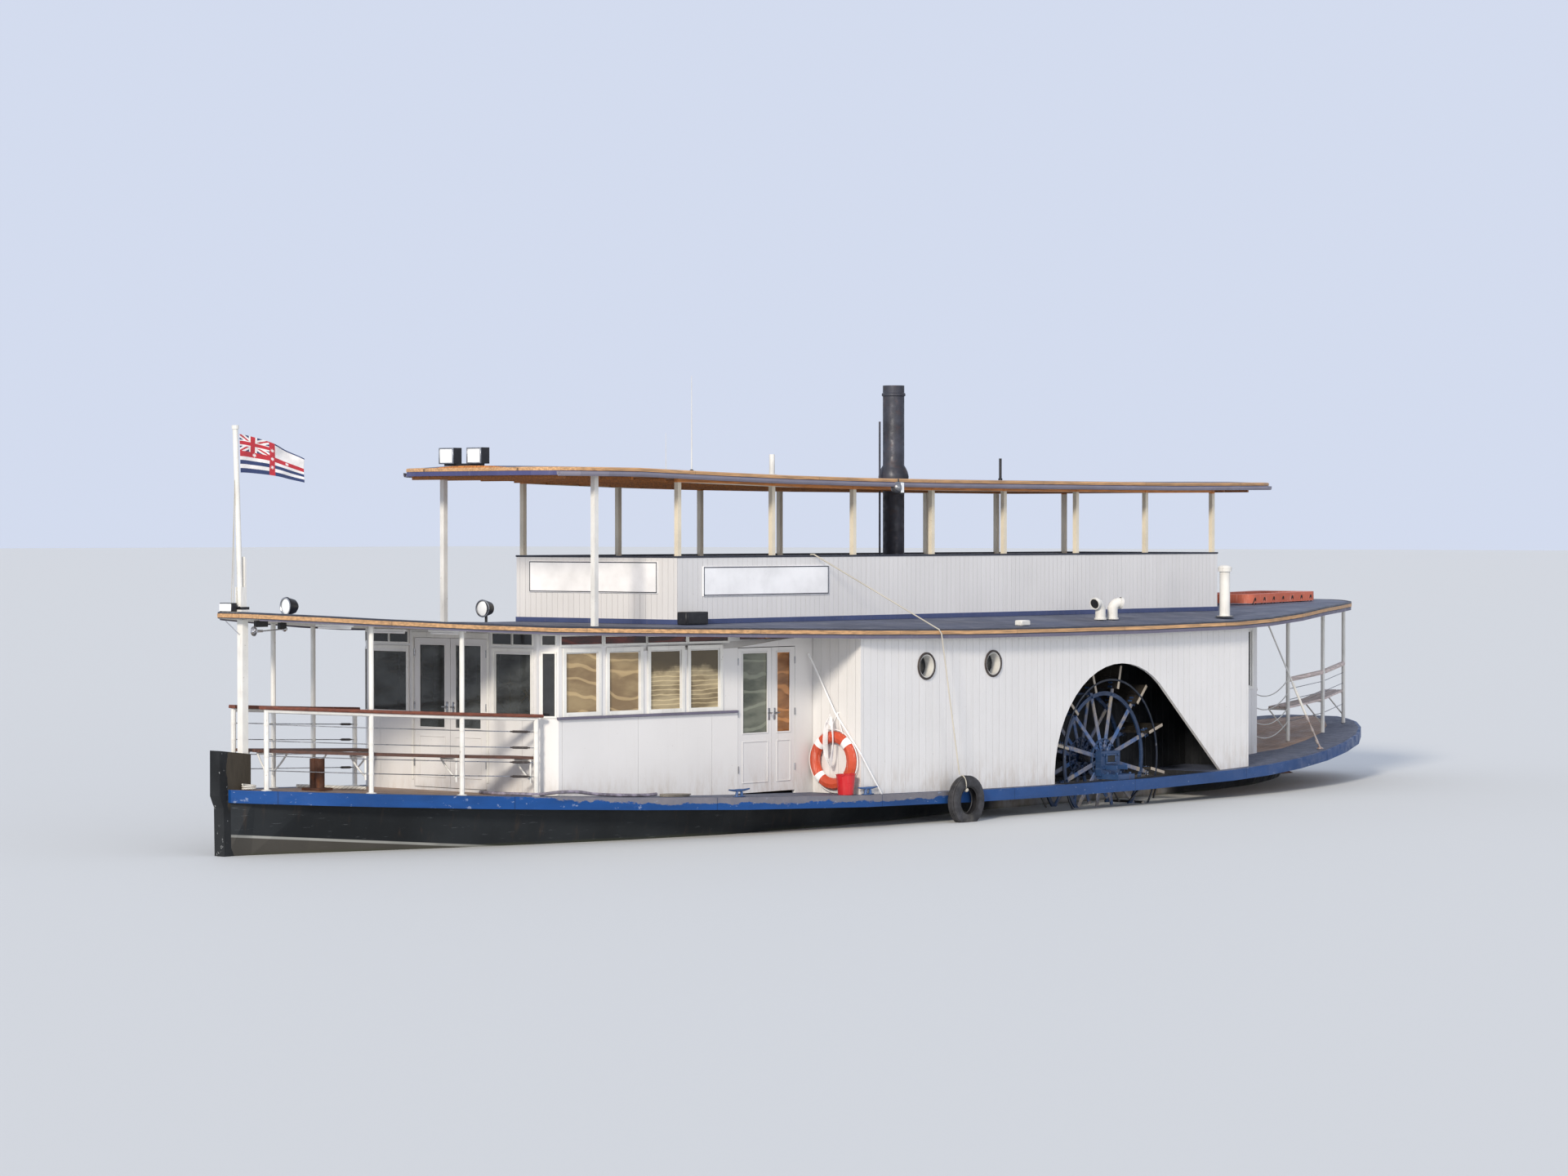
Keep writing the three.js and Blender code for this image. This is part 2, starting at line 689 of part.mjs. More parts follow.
function helmShape() {
  const [x, z] = [-6500, 1450];
  const rim = ringTube(420, 24, 24, 6, 20).rotateZ(Math.PI / 2).translate(x, 0, z);
  const handle = 560;
  const spokes = [];
  for (let i = 0; i < 4; i += 1) {
    const a = (i * Math.PI) / 4;
    const reach = [Math.cos(a) * handle, Math.sin(a) * handle];
    spokes.push(bar([x, -reach[0], z - reach[1]], [x, reach[0], z + reach[1]], 15, 6));
  }
  const stand = block(x + 40, x + 200, -110, 110, deckTop(x + 200) + 30, z + 110);
  const hub = bar([x - 30, 0, z], [x + 100, 0, z], 60, 14);
  return join(rim, ...spokes, stand, hub);
}

// Mast on its housing at the front of the lower roof
const mastX = -10985;
const mastPivotZ = 3035;
const mastTop = 4945;
const mastRadius = 32;
const mastLean = THREE.MathUtils.degToRad(2.1);

function mastShape() {
  const spar = bar([mastX, 0, mastPivotZ - 150], [mastX, 0, mastTop], mastRadius, 14);
  const truck = bar([mastX, 0, mastTop - 5], [mastX, 0, mastTop + 40], mastRadius + 11, 12);
  return leaned(join(spar, truck));
}

function leaned(geometry) {
  return geometry.translate(-mastX, 0, -mastPivotZ).rotateY(-mastLean).translate(mastX, 0, mastPivotZ);
}

// Two cheeks, a bare front and a board that stands up behind the mast
function mastHousingShape() {
  const front = mastX - 30;
  const aft = mastX + 60;
  const foot = roofAt(front - 20, 0) + 1;
  const cheeks = [-1, 1].map((side) => {
    const y = [mastRadius + 4, mastRadius + 14].map((v) => v * side).sort((a, b) => a - b);
    return block(front, aft, y[0], y[1], foot, mastPivotZ + 75);
  });
  const outline = [
    [aft - 24, mastPivotZ + 60], [aft - 24, 3460], [aft, 3425], [aft, mastPivotZ + 60],
  ];
  const back = plate(outline, -mastRadius - 10, mastRadius + 10);
  const base = block(front - 20, aft + 20, -75, 75, foot, foot + 30);
  return join(...cheeks, back, base);
}

// The square post under the mast, from the head of the stem to the roof
function bowPostShape() {
  const [front, aft] = [-10990, stemAft - 2];
  const onStem = (x) => stemTop + (stemAftTop - stemTop) * ((x - stemX) / (stemAft - stemX)) + gap;
  const under = Math.min(roofUnder(front), roofUnder(aft)) - gap;
  return plate([[front, onStem(front)], [aft, onStem(aft)], [aft, under], [front, under]], -45, 45);
}

const flagFoot = 4435;
const flagDroop = 140;

function flagShape() {
  const length = 800;
  const height = 445;
  const fold = 165;
  const steps = 12;
  const heading = THREE.MathUtils.degToRad(-20);
  const sections = [];
  for (let i = 0; i <= steps; i += 1) {
    const t = i / steps;
    const [along, side] = [50 + length * t, 24 * Math.sin(t * Math.PI * 2)];
    const x = mastX + along * Math.cos(heading) - side * Math.sin(heading);
    const y = along * Math.sin(heading) + side * Math.cos(heading);
    const z = flagFoot - flagDroop * t ** 1.6;
    const top = z + height - fold * t ** 1.3;
    sections.push([[x, y - 3, top], [x, y - 3, z], [x, y + 3, z], [x, y + 3, top]]);
  }
  return leaned(loft(sections));
}

function searchLampShape() {
  const body = new THREE.CylinderGeometry(115, 80, 130, 20).rotateZ(Math.PI / 2).translate(0, 0, 175);
  return join(body, bar([0, 0, 0], [0, 0, 140], 18, 8));
}

function floodlightShape() {
  const bracket = block(-20, 20, -330, 330, 0, 30);
  const lamps = [-240, 240].map((y) => block(-70, 70, y - 125, y + 125, 25, 225));
  return join(bracket, ...lamps);
}

function bollardShape() {
  const x = -9770;
  const foot = deckTop(x - 110) + 1;
  const posts = [-50, 50].map((y) => bar([x, y, foot], [x, y, foot + 375], 54, 14));
  return join(block(x - 110, x + 110, -150, 150, foot, foot + 30), ...posts);
}

// The model
const model = new THREE.Group();

function add(name, geometry, colour, parent = model) {
  const [hex, roughness, metalness] = paint[colour];
  const material = new THREE.MeshStandardMaterial({ color: hex, roughness, metalness });
  const mesh = new THREE.Mesh(geometry, material);
  mesh.name = name;
  parent.add(mesh);
  return mesh;
}

function addPair(name, geometry, colour) {
  add(`${name}_port`, mirrored(geometry), colour);
  add(`${name}_starboard`, geometry, colour);
}

add('hull', hullShape(), 'black');
add('stem_post', stemShape(), 'black');
add('main_deck', deckShape(), 'deck');
add('rub_strake', strakeShape(), 'blue');
add('fore_cabin_front', frontWallShape(), 'cream');
addPair('fore_cabin_corner', cornerPostShape(), 'cream');
addPair('fore_cabin_side', foreSideShape(), 'cream');
add('cabin_bulkhead', bulkheadShape(), 'cream');
addPair('engine_room_side', engineSideShape(), 'cream');
add('aft_cabin_wall', aftWallShape(), 'cream');
addPair('paddle_box', paddleBoxShape(), 'cream');
add('lower_roof', lowerRoofShape(), 'roof');
add('upper_bulwark', bulwarkShape(), 'cream');
add('canopy', canopyShape(), 'timber');
addPair('canopy_frame', canopyFrameShape(), 'white');
addPair('canopy_prop', canopyPropShape(), 'white');
addPair('bow_rail', railShape(bowPosts, bowRailHeight), 'white');
addPair('aft_rail', railShape(aftPosts, aftRailHeight), 'white');
addPair('bow_bench', benchShape(bowPosts, 300), 'railTimber');
add('boiler', block(-1200, 1900, -550, 550, 420, 1750), 'black');
add('engine', block(3150, 4600, -600, 600, 420, 1150), 'steel');
add('funnel', funnelShape(), 'black');
add('steam_pipe', steamPipeShape(), 'steel');
addPair('paddle_wheel', paddleWheelShape(), 'blue');
add('paddle_shaft', shaftShape(), 'steel');
addPair('wheel_bearing', bearingShape(), 'blue');
add('rudder', rudderShape(), 'black');
add('helm', helmShape(), 'brass');
add('mast', mastShape(), 'white');
add('mast_housing', mastHousingShape(), 'white');
add('bow_post', bowPostShape(), 'white');
add('flag', flagShape(), 'cloth');
add('bow_bollard', bollardShape(), 'railTimber');

// Door leaves, each placed on its hinge line
const frontLeafFoot = frontSill + sillClear - 4;
const frontLeafHeight = deckTop(houseFront) + frontDoorTop - 7 - frontLeafFoot;
const frontLeaf = doorLeaf(frontDoorHalf - 8, frontLeafHeight, 731, 1748, 88);
for (const [name, side] of [['port', -1], ['starboard', 1]]) {
  const leaf = add(`front_door_${name}`, side < 0 ? frontLeaf : mirrored(frontLeaf), 'cream');
  leaf.rotation.z = (Math.PI / 2) * -side;
  leaf.position.set(houseFront + 22, (frontDoorHalf - 5) * side, frontLeafFoot);
}
const [foreLeafWidth, aftLeafWidth] = [640, 444];
const sideLeafHeight = 1814;
const sideLeafWindow = [745, 1752];
const foreLeaf = doorLeaf(foreLeafWidth, sideLeafHeight, ...sideLeafWindow, 84);
const aftSideLeaf = doorLeaf(aftLeafWidth, sideLeafHeight, ...sideLeafWindow, 96);
for (const [name, side] of [['port', -1], ['starboard', 1]]) {
  const y = (foreSideHalf - 22) * side;
  const foot = deckTop(sideDoorX[0]) + 12;
  const fore = add(`side_door_fore_${name}`, foreLeaf, 'cream');
  fore.position.set(sideDoorX[0] + 5, y, foot);
  const aft = add(`side_door_aft_${name}`, aftSideLeaf, 'cream');
  aft.position.set(sideDoorX[1] - 5 - aftLeafWidth, y, foot);
}
const aftLeafFoot = aftSill + sillClear - 4;
const aftLeafHeight = deckTop(houseAft) + aftDoorTop - 7 - aftLeafFoot;
const aftLeaf = add('aft_door', doorLeaf(790, aftLeafHeight, 900, 1650, 120), 'cream');
aftLeaf.rotation.z = Math.PI / 2;
aftLeaf.position.set(houseAft + 22, aftDoor[0] + 5, aftLeafFoot);

const tyre = add('tyre_fender', ringTube(tyreRadius, 80, tyreHalfWidth, 8, 24), 'rubber');
tyre.position.set(-1150, -boxOuterHalf - tyreHalfWidth * 3, 275);
const ring = add('life_ring', ringTube(ringRadius, 75, 55, 8, 24), 'orange');
ring.rotation.z = Math.PI / 2;
ring.position.set(boxFront - 60, -2350, 850);
const bucket = add('bucket', bucketShape(), 'red');
bucket.position.set(boxFront - 220, -2685, deckTop(boxFront) + 10);

const vents = [['cowl_vent_fore', 2850, 0], ['cowl_vent_aft', 3130, Math.PI - 0.5]];
for (const [name, x, turn] of vents) {
  add(name, ventShape(turn), 'white').position.set(x, -2200, roofAt(x, 2200 - 90) + 2);
}
add('vent_pipe', ventPipeShape(), 'white').position.set(5410, -2500, roofAt(5410, 2500 - 135) + 3);
const raft = add('life_float', lifeFloatShape(), 'orange');
raft.rotation.y = -0.016;
raft.position.set(9300, -350, roofAt(9300, 350) + 14);
add('search_lamp', searchLampShape(), 'steel').position.set(-5500, 1400, roofAt(-5500, 1400) + 1);
const lampsZ = canopyUnder(-7000) + canopyThick + canopyCrown + 1;
add('floodlights', floodlightShape(), 'steel').position.set(-7000, 300, lampsZ);

export default model;
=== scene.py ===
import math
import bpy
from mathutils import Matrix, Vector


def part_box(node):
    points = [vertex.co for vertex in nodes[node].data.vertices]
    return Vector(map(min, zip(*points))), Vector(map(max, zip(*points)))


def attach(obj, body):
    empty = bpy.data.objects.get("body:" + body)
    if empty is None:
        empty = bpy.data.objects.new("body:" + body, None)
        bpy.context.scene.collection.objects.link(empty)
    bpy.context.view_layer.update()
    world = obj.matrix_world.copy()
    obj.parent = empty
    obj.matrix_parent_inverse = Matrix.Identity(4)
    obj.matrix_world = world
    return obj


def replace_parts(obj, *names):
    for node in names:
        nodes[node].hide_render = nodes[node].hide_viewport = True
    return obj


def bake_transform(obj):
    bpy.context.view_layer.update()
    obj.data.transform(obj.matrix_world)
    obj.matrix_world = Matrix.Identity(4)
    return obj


bl_info = {
    "name": "Paddle steamer finish",
    "version": (1, 0, 0),
    "blender": (4, 5, 0),
    "location": "3D View > Sidebar > Steamer",
    "description": "Paint, glazing, trim, ropes and gear around the packed paddle steamer",
    "category": "Object",
}

import bmesh
import bpy
from bpy.props import FloatProperty, FloatVectorProperty, PointerProperty
from mathutils import Matrix, Vector
from mathutils.bvhtree import BVHTree
from mathutils.geometry import convex_hull_2d

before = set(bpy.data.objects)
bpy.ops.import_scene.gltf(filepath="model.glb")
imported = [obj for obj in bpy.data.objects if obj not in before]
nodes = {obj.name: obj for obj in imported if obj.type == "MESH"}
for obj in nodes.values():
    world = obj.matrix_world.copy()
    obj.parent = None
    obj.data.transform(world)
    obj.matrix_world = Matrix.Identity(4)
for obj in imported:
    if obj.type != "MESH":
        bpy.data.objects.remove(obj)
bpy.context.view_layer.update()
UP = Vector((0, 0, 1))
SIDES = (("port", -1), ("starboard", 1))
# How far a fitted piece stands clear of the face behind it
CLEAR = 0.0005


# Sizes and colours that a user would change


def size(name, description, default):
    return FloatProperty(name=name, description=description, default=default, unit="LENGTH", precision=4)


def paint(name, description, default):
    return FloatVectorProperty(
        name=name, description=description, default=default, subtype="COLOR", size=3, min=0, max=1
    )


class SteamerSizes(bpy.types.PropertyGroup):
    board_pitch: size("Board pitch", "Width of one wall board", 0.095)
    plank_pitch: size("Plank pitch", "Width of one deck plank", 0.12)
    glass_thick: size("Glass thickness", "Thickness of the window panes", 0.006)
    wire_radius: size("Wire radius", "Radius of the rail wires", 0.0055)
    rope_radius: size("Rope radius", "Radius of the mooring ropes", 0.011)
    roof_band: size("Roof band", "Height of the timber band round the lower roof", 0.046)
    name_board_border: size("Board border", "Width of the dark line round a bare name board", 0.012)


class SteamerColours(bpy.types.PropertyGroup):
    wall: paint("Walls", "Paint of the wall boards", (0.70, 0.69, 0.68))
    gloss_white: paint("White gloss", "Paint of posts, mast and rails", (0.74, 0.73, 0.69))
    blue: paint("Blue", "Paint of the wheels and cleats", (0.034, 0.085, 0.215))
    strake: paint("Strake", "Paint of the rub strake", (0.006, 0.055, 0.21))
    hull: paint("Hull", "Black hull paint", (0.012, 0.014, 0.016))
    roof: paint("Roof", "Blue-grey roof and deck margin", (0.075, 0.09, 0.14))
    timber: paint("Timber", "Oiled timber of the soffits", (0.5, 0.19, 0.045))
    rail: paint("Rail timber", "Red-brown bow rail", (0.16, 0.045, 0.022))
    orange: paint("Orange", "Life ring and life float", (0.54, 0.072, 0.028))


# Materials


class Finish:
    """A material built node by node around one Principled shader."""

    def __init__(self, name, **sockets):
        self.material = bpy.data.materials.new(name)
        self.material.use_nodes = True
        self.tree = self.material.node_tree
        self.shader = self.tree.nodes["Principled BSDF"]
        self.feed(self.shader, sockets)
        self.place = self.add("ShaderNodeTexCoord").outputs["Object"]

    def feed(self, node, sockets):
        for key, value in sockets.items():
            socket = node.inputs[key.replace("_", " ") if isinstance(key, str) else key]
            if isinstance(value, bpy.types.NodeSocket):
                self.tree.links.new(value, socket)
            elif socket.type == "RGBA" and len(value) == 3:
                socket.default_value = (*value, 1)
            else:
                socket.default_value = value

    def add(self, kind, sockets=None, **settings):
        node = self.tree.nodes.new(kind)
        for key, value in settings.items():
            setattr(node, key, value)
        self.feed(node, sockets or {})
        return node

    def sum(self, operation, *values):
        node = self.add("ShaderNodeMath", operation=operation)
        self.feed(node, dict(enumerate(values)))
        return node.outputs[0]

    def times(self, a, b):
        return self.sum("MULTIPLY", a, b)

    def axes(self, vector=None):
        return self.add("ShaderNodeSeparateXYZ", {"Vector": vector or self.place}).outputs

    def stretched(self, x, y, z):
        return self.add("ShaderNodeMapping", {"Vector": self.place, "Scale": (x, y, z)}).outputs[0]

    def noise(self, scale, detail=4.0, rough=0.55, vector=None):
        sockets = {"Vector": vector or self.place, "Scale": scale, "Detail": detail, "Roughness": rough}
        return self.add("ShaderNodeTexNoise", sockets).outputs["Fac"]

    def span(self, value, low, high, to_low=0.0, to_high=1.0):
        sockets = {"Value": value, 1: low, 2: high, 3: to_low, 4: to_high}
        return self.add("ShaderNodeMapRange", sockets, interpolation_type="SMOOTHSTEP").outputs[0]

    def mix(self, factor, a, b):
        return self.add("ShaderNodeMix", {0: factor, 6: a, 7: b}, data_type="RGBA").outputs[2]

    def over(self, base, mask, amount, colour):
        """Lays a colour over the base where the mask is 1, as strongly as amount says"""
        return self.mix(self.times(mask, amount), base, colour)

    def cloudy(self, *noise, to=(0.0, 1.0)):
        """Noise stretched to its full contrast"""
        return self.span(self.noise(*noise), 0.3, 0.7, *to)

    def seams(self, along, pitch, width):
        """1 in the gaps between boards of that pitch, 0 on their faces"""
        distance = self.sum("PINGPONG", along, pitch / 2)
        return self.span(distance, 0.0, width, 1.0, 0.0)

    def board_tone(self, along, pitch):
        """A number from 0 to 1 that differs from board to board"""
        number = self.sum("FLOOR", self.sum("DIVIDE", along, pitch))
        return self.add("ShaderNodeTexWhiteNoise", {"W": number}, noise_dimensions="1D").outputs["Value"]

    def bump(self, height, distance, strength=1.0):
        sockets = {"Height": height, "Distance": distance, "Strength": strength}
        if self.shader.inputs["Normal"].is_linked:
            sockets["Normal"] = self.shader.inputs["Normal"].links[0].from_socket
        made = self.add("ShaderNodeBump", sockets)
        self.tree.links.new(made.outputs[0], self.shader.inputs["Normal"])

    def colour(self, socket):
        self.feed(self.shader, {"Base Color": socket})

    def rough(self, value):
        self.feed(self.shader, {"Roughness": value})

    def uneven_gloss(self, low, high, *noise):
        self.rough(self.cloudy(*noise, to=(low, high)))


def shade(colour, factor):
    return tuple(min(1.0, c * factor) for c in colour)


def box_chamber_shade_mask(f, normal, place):
    """1 on the faces of a paddle box that look into the wheel's chamber, which get painted shade"""
    inward = f.sum("LESS_THAN", f.times(normal[1], place[1]), -1.0)
    along = f.times(normal[0], f.sum("SUBTRACT", place[0], 1.3))
    return f.sum("MAXIMUM", inward, f.sum("LESS_THAN", along, -3.0))


def chamber_side_shade_mask(f, normal, place):
    """1 on the house side where it backs the wheel's chamber, which gets painted shade"""
    outward = f.sum("GREATER_THAN", f.times(normal[1], place[1]), 1.0)
    return f.times(outward, f.sum("LESS_THAN", place[0], 5.62))


def wall_boards(name, colour, pitch, streaks=0.35, seam_depth=0.2, inside=None):
    """Painted tongue-and-groove boards, upright, with rain streaks, a dusty foot, and near-black painted
    shade on the faces that the inside mask marks in a wheel's chamber
    """
    f = Finish(name, Roughness=0.5)
    normal = f.axes(f.add("ShaderNodeNewGeometry").outputs["Normal"])
    x, y, z = f.axes()
    facing_side = f.sum("GREATER_THAN", f.sum("ABSOLUTE", normal[1]), 0.7)
    along = f.sum("ADD", f.times(x, facing_side), f.times(y, f.sum("SUBTRACT", 1.0, facing_side)))
    upright = f.sum("LESS_THAN", f.sum("ABSOLUTE", normal[2]), 0.5)
    seam = f.times(f.seams(along, pitch, 0.005), upright)
    tone = f.board_tone(along, pitch)
    base = f.mix(tone, shade(colour, 0.98), shade(colour, 1.015))
    cloudy = f.span(f.noise(0.9, 5), 0.35, 0.7)
    base = f.over(base, cloudy, 0.35, shade(colour, 0.86))
    streak = f.span(f.noise(2.2, 6, 0.65, f.stretched(9, 9, 0.55)), 0.52, 0.74)
    base = f.over(base, streak, streaks, (0.46, 0.4, 0.33))
    splashes = f.span(f.noise(3.5, 6, 0.7, f.stretched(3, 3, 0.8)), 0.4, 0.66)
    foot = f.times(f.span(z, 0.45, 0.95, 1.0, 0.0), splashes)
    base = f.over(base, foot, 0.3, (0.36, 0.27, 0.18))
    chips = f.span(f.noise(38, 3, 0.6), 0.70, 0.73)
    base = f.over(base, chips, 0.4, (0.28, 0.24, 0.2))
    base = f.over(base, seam, seam_depth, (0.3, 0.28, 0.26))
    # Near-black painted shade inside a wheel's chamber, where the mask is 1
    if inside:
        dark = f.mix(f.cloudy(3, 5), (0.008, 0.009, 0.011), (0.02, 0.022, 0.026))
        base = f.mix(inside(f, normal, (x, y, z)), base, dark)
    f.colour(base)
    f.uneven_gloss(0.42, 0.6, 6, 4)
    f.bump(f.sum("SUBTRACT", 1.0, seam), 0.004)
    f.bump(f.noise(60, 3), 0.0008, 0.4)
    return f.material


def gloss_paint(name, colour, chip=(0.25, 0.2, 0.16), wear=0.4, roughness=0.38, metallic=0.0):
    """Brushed paint with faint runs, grime and small chips"""
    f = Finish(name, Roughness=roughness, Metallic=metallic)
    cloudy = f.span(f.noise(2.3, 5), 0.3, 0.75)
    base = f.mix(cloudy, shade(colour, 1.04), shade(colour, 0.84))
    runs = f.span(f.noise(5, 5, 0.6, f.stretched(6, 6, 0.7)), 0.55, 0.75)
    base = f.over(base, runs, wear * 0.6, shade(chip, 1.4))
    chips = f.span(f.noise(24, 4, 0.65), 0.66, 0.69)
    base = f.over(base, chips, wear, chip)
    f.colour(base)
    f.uneven_gloss(roughness - 0.06, roughness + 0.14, 9, 3)
    f.bump(f.noise(45, 3), 0.0008, 0.5)
    return f.material


def timber(name, colour, pitch, across, grain_along=0, roughness=0.5):
    """Boards with grain; across is the axis that counts boards, grain_along the one the grain follows"""
    f = Finish(name, Roughness=roughness)
    stretch = [14.0, 14.0, 14.0]
    stretch[grain_along] = 0.8
    grain = f.noise(3.2, 7, 0.62, f.stretched(*stretch))
    axis = f.axes()[across]
    tone = f.board_tone(axis, pitch)
    base = f.mix(f.span(grain, 0.3, 0.7), shade(colour, 0.62), shade(colour, 1.35))
    base = f.over(base, tone, 0.45, shade(colour, 0.55))
    seam = f.seams(axis, pitch, 0.004)
    base = f.over(base, seam, 0.85, shade(colour, 0.12))
    f.colour(base)
    f.rough(f.span(grain, 0.3, 0.7, roughness - 0.08, roughness + 0.15))
    f.bump(f.sum("SUBTRACT", 1.0, seam), 0.003)
    f.bump(grain, 0.0015, 0.5)
    return f.material


def roof_sheets(name, colour):
    """Painted roofing in sheets laid across the boat, dusty and patched"""
    f = Finish(name, Roughness=0.62)
    x, y, z = f.axes()
    tone = f.board_tone(x, 1.2)
    base = f.mix(f.cloudy(0.7, 6), shade(colour, 1.25), shade(colour, 0.85))
    base = f.over(base, tone, 0.25, shade(colour, 0.75))
    dust = f.span(f.noise(1.6, 7, 0.7, f.stretched(0.5, 2, 1)), 0.5, 0.72)
    base = f.over(base, dust, 0.35, (0.2, 0.2, 0.21))
    seam = f.seams(x, 1.2, 0.012)
    base = f.over(base, seam, 0.5, shade(colour, 0.45))
    f.colour(base)
    f.uneven_gloss(0.5, 0.75, 3, 5)
    f.bump(seam, 0.004)
    f.bump(f.noise(70, 3), 0.001, 0.5)
    return f.material


def canopy_finish(name, under, top):
    """Oiled boards below, grey roofing above"""
    f = Finish(name, Roughness=0.5)
    lift = f.axes(f.add("ShaderNodeNewGeometry").outputs["Normal"])[2]
    x, y, z = f.axes()
    grain = f.noise(3.2, 7, 0.62, f.stretched(0.8, 14, 14))
    tone = f.board_tone(y, 0.11)
    boards = f.mix(f.span(grain, 0.3, 0.7), shade(under, 0.65), shade(under, 1.3))
    boards = f.over(boards, tone, 0.4, shade(under, 0.55))
    seam = f.seams(y, 0.11, 0.005)
    boards = f.over(boards, seam, 0.85, shade(under, 0.12))
    sheeting = f.mix(f.cloudy(1.3, 6), shade(top, 1.5), shade(top, 0.9))
    sheeting = f.mix(f.span(f.noise(4, 6, 0.7), 0.55, 0.72), sheeting, (0.16, 0.15, 0.14))
    f.colour(f.mix(f.sum("GREATER_THAN", lift, 0.2), boards, sheeting))
    f.rough(f.span(grain, 0.3, 0.7, 0.45, 0.68))
    f.bump(f.sum("SUBTRACT", 1.0, seam), 0.003)
    f.bump(grain, 0.0012, 0.5)
    return f.material


def hull_paint(colour):
    """Black topsides, a pale line that runs down to the water, grey below it, and grey beside the wheels"""
    f = Finish("hull_black", Roughness=0.42, Specular_IOR_Level=0.15)
    x, y, z = f.axes()
    wavy = f.noise(1.1, 4, 0.5)
    base = f.mix(f.cloudy(0.8, 5), colour, shade(colour, 1.9))
    weeps = f.span(f.noise(2.6, 6, 0.65, f.stretched(3.2, 3.2, 0.35)), 0.56, 0.74)
    base = f.over(base, weeps, 0.3, (0.07, 0.045, 0.03))
    scuffs = f.span(f.noise(7, 5, 0.7, f.stretched(0.5, 0.5, 5)), 0.63, 0.7)
    base = f.over(base, scuffs, 0.35, (0.13, 0.14, 0.15))
    line_height = f.sum("MULTIPLY_ADD", x, -0.0775, -0.641)
    above = f.sum("SUBTRACT", z, line_height)
    below = f.span(above, -0.01, 0.004, 1.0, 0.0)
    base = f.over(base, below, 0.75, f.mix(wavy, (0.045, 0.043, 0.038), (0.1, 0.092, 0.08)))
    stripe = f.times(f.span(above, -0.012, -0.004), f.span(above, 0.018, 0.026, 1.0, 0.0))
    base = f.over(base, stripe, f.span(wavy, 0.3, 0.55, 0.5, 1.0), (0.28, 0.285, 0.27))
    beside = f.times(f.span(x, 0.9, 1.25), f.span(x, 4.9, 5.5, 1.0, 0.0))
    stain = f.span(f.noise(2.2, 6, 0.65, f.stretched(1.5, 1.5, 0.6)), 0.35, 0.65)
    base = f.over(base, beside, 0.92, f.mix(stain, (0.36, 0.35, 0.34), (0.2, 0.17, 0.14)))
    scum = f.times(f.span(z, 0.0, 0.05, 1.0, 0.0), f.span(wavy, 0.3, 0.6))
    base = f.over(base, scum, 0.6, (0.05, 0.055, 0.035))
    f.colour(base)
    f.uneven_gloss(0.32, 0.58, 5, 4)
    f.bump(f.noise(3, 5, 0.6, f.stretched(0.6, 0.6, 1.6)), 0.006, 0.5)
    f.bump(f.noise(55, 3), 0.001, 0.5)
    return f.material


def stem_paint():
    """Black edges with white chips round a side worn down to brown timber"""
    f = Finish("stem_black", Roughness=0.65, Specular_IOR_Level=0.2)
    x, y, z = f.axes()
    brown = f.mix(f.noise(4, 7, 0.65, f.stretched(3, 3, 0.5)), (0.02, 0.018, 0.014), (0.075, 0.062, 0.046))
    black = f.mix(f.cloudy(2, 5), (0.008, 0.009, 0.01), (0.02, 0.022, 0.024))
    rim = f.sum("ADD", x, f.cloudy(6, 4, to=(-0.03, 0.03)))
    front = f.span(rim, -11.27, -11.25, 1.0, 0.0)
    base = f.mix(f.times(f.sum("SUBTRACT", 1.0, front), f.span(z, 0.5, 0.62)), black, brown)
    chips = f.times(f.span(f.noise(13, 5, 0.7, f.stretched(1, 1, 0.6)), 0.63, 0.67), front)
    base = f.over(base, chips, 0.9, (0.5, 0.52, 0.52))
    f.colour(base)
    f.bump(f.noise(9, 6, 0.7, f.stretched(2, 2, 0.5)), 0.006, 0.7)
    return f.material


def deck_sheer(f, x):
    """Height of the deck edge over the water, forward of its lowest place"""
    back = f.times(f.sum("MINIMUM", f.sum("SUBTRACT", x, 2.0), 0.0), 1 / 13.4)
    return f.sum("MULTIPLY_ADD", f.times(back, back), 0.41, 0.37)


def scuffed_strake(name, colour):
    """Blue strake rubbed bare along its top where people step aboard, and darkened towards the stern with
    painted shade
    """
    f = Finish(name, Roughness=0.42, Specular_IOR_Level=0.25)
    x, y, z = f.axes()
    cloudy = f.cloudy(1.3, 6, 0.6, f.stretched(0.5, 0.5, 2))
    base = f.mix(cloudy, shade(colour, 1.2), shade(colour, 0.75))
    # Painted shade: darker towards the stern, so the bow reads as the lit end
    aft = f.span(x, -9.0, 6.0)
    base = f.over(base, aft, 0.45, (0.04, 0.07, 0.14))
    depth = f.sum("SUBTRACT", deck_sheer(f, x), z)
    reach = f.times(f.span(x, -8.6, -6.2), f.span(x, -1.6, -0.9, 1.0, 0.0))
    ragged = f.span(f.noise(3.2, 7, 0.7, f.stretched(1, 1, 2.2)), 0.25, 0.75, -0.035, 0.035)
    edge = f.sum("SUBTRACT", f.sum("MULTIPLY_ADD", reach, 0.078, -0.004), f.sum("ADD", depth, ragged))
    dusty = f.mix(f.noise(7, 5), (0.12, 0.12, 0.135), (0.26, 0.235, 0.225))
    dust = f.times(f.span(edge, -0.004, 0.012), f.span(reach, 0.0, 0.3))
    base = f.over(base, dust, 0.85, dusty)
    chips = f.span(f.noise(10, 6, 0.72, f.stretched(0.8, 1, 1.6)), 0.62, 0.66)
    base = f.over(base, chips, 0.5, (0.3, 0.36, 0.48))
    joint = f.seams(x, 2.7, 0.012)
    base = f.over(base, joint, 0.6, shade(colour, 0.3))
    f.colour(base)
    f.uneven_gloss(0.3, 0.6, 5, 5)
    f.bump(f.noise(6, 6, 0.65, f.stretched(0.5, 0.5, 3)), 0.003, 0.6)
    return f.material


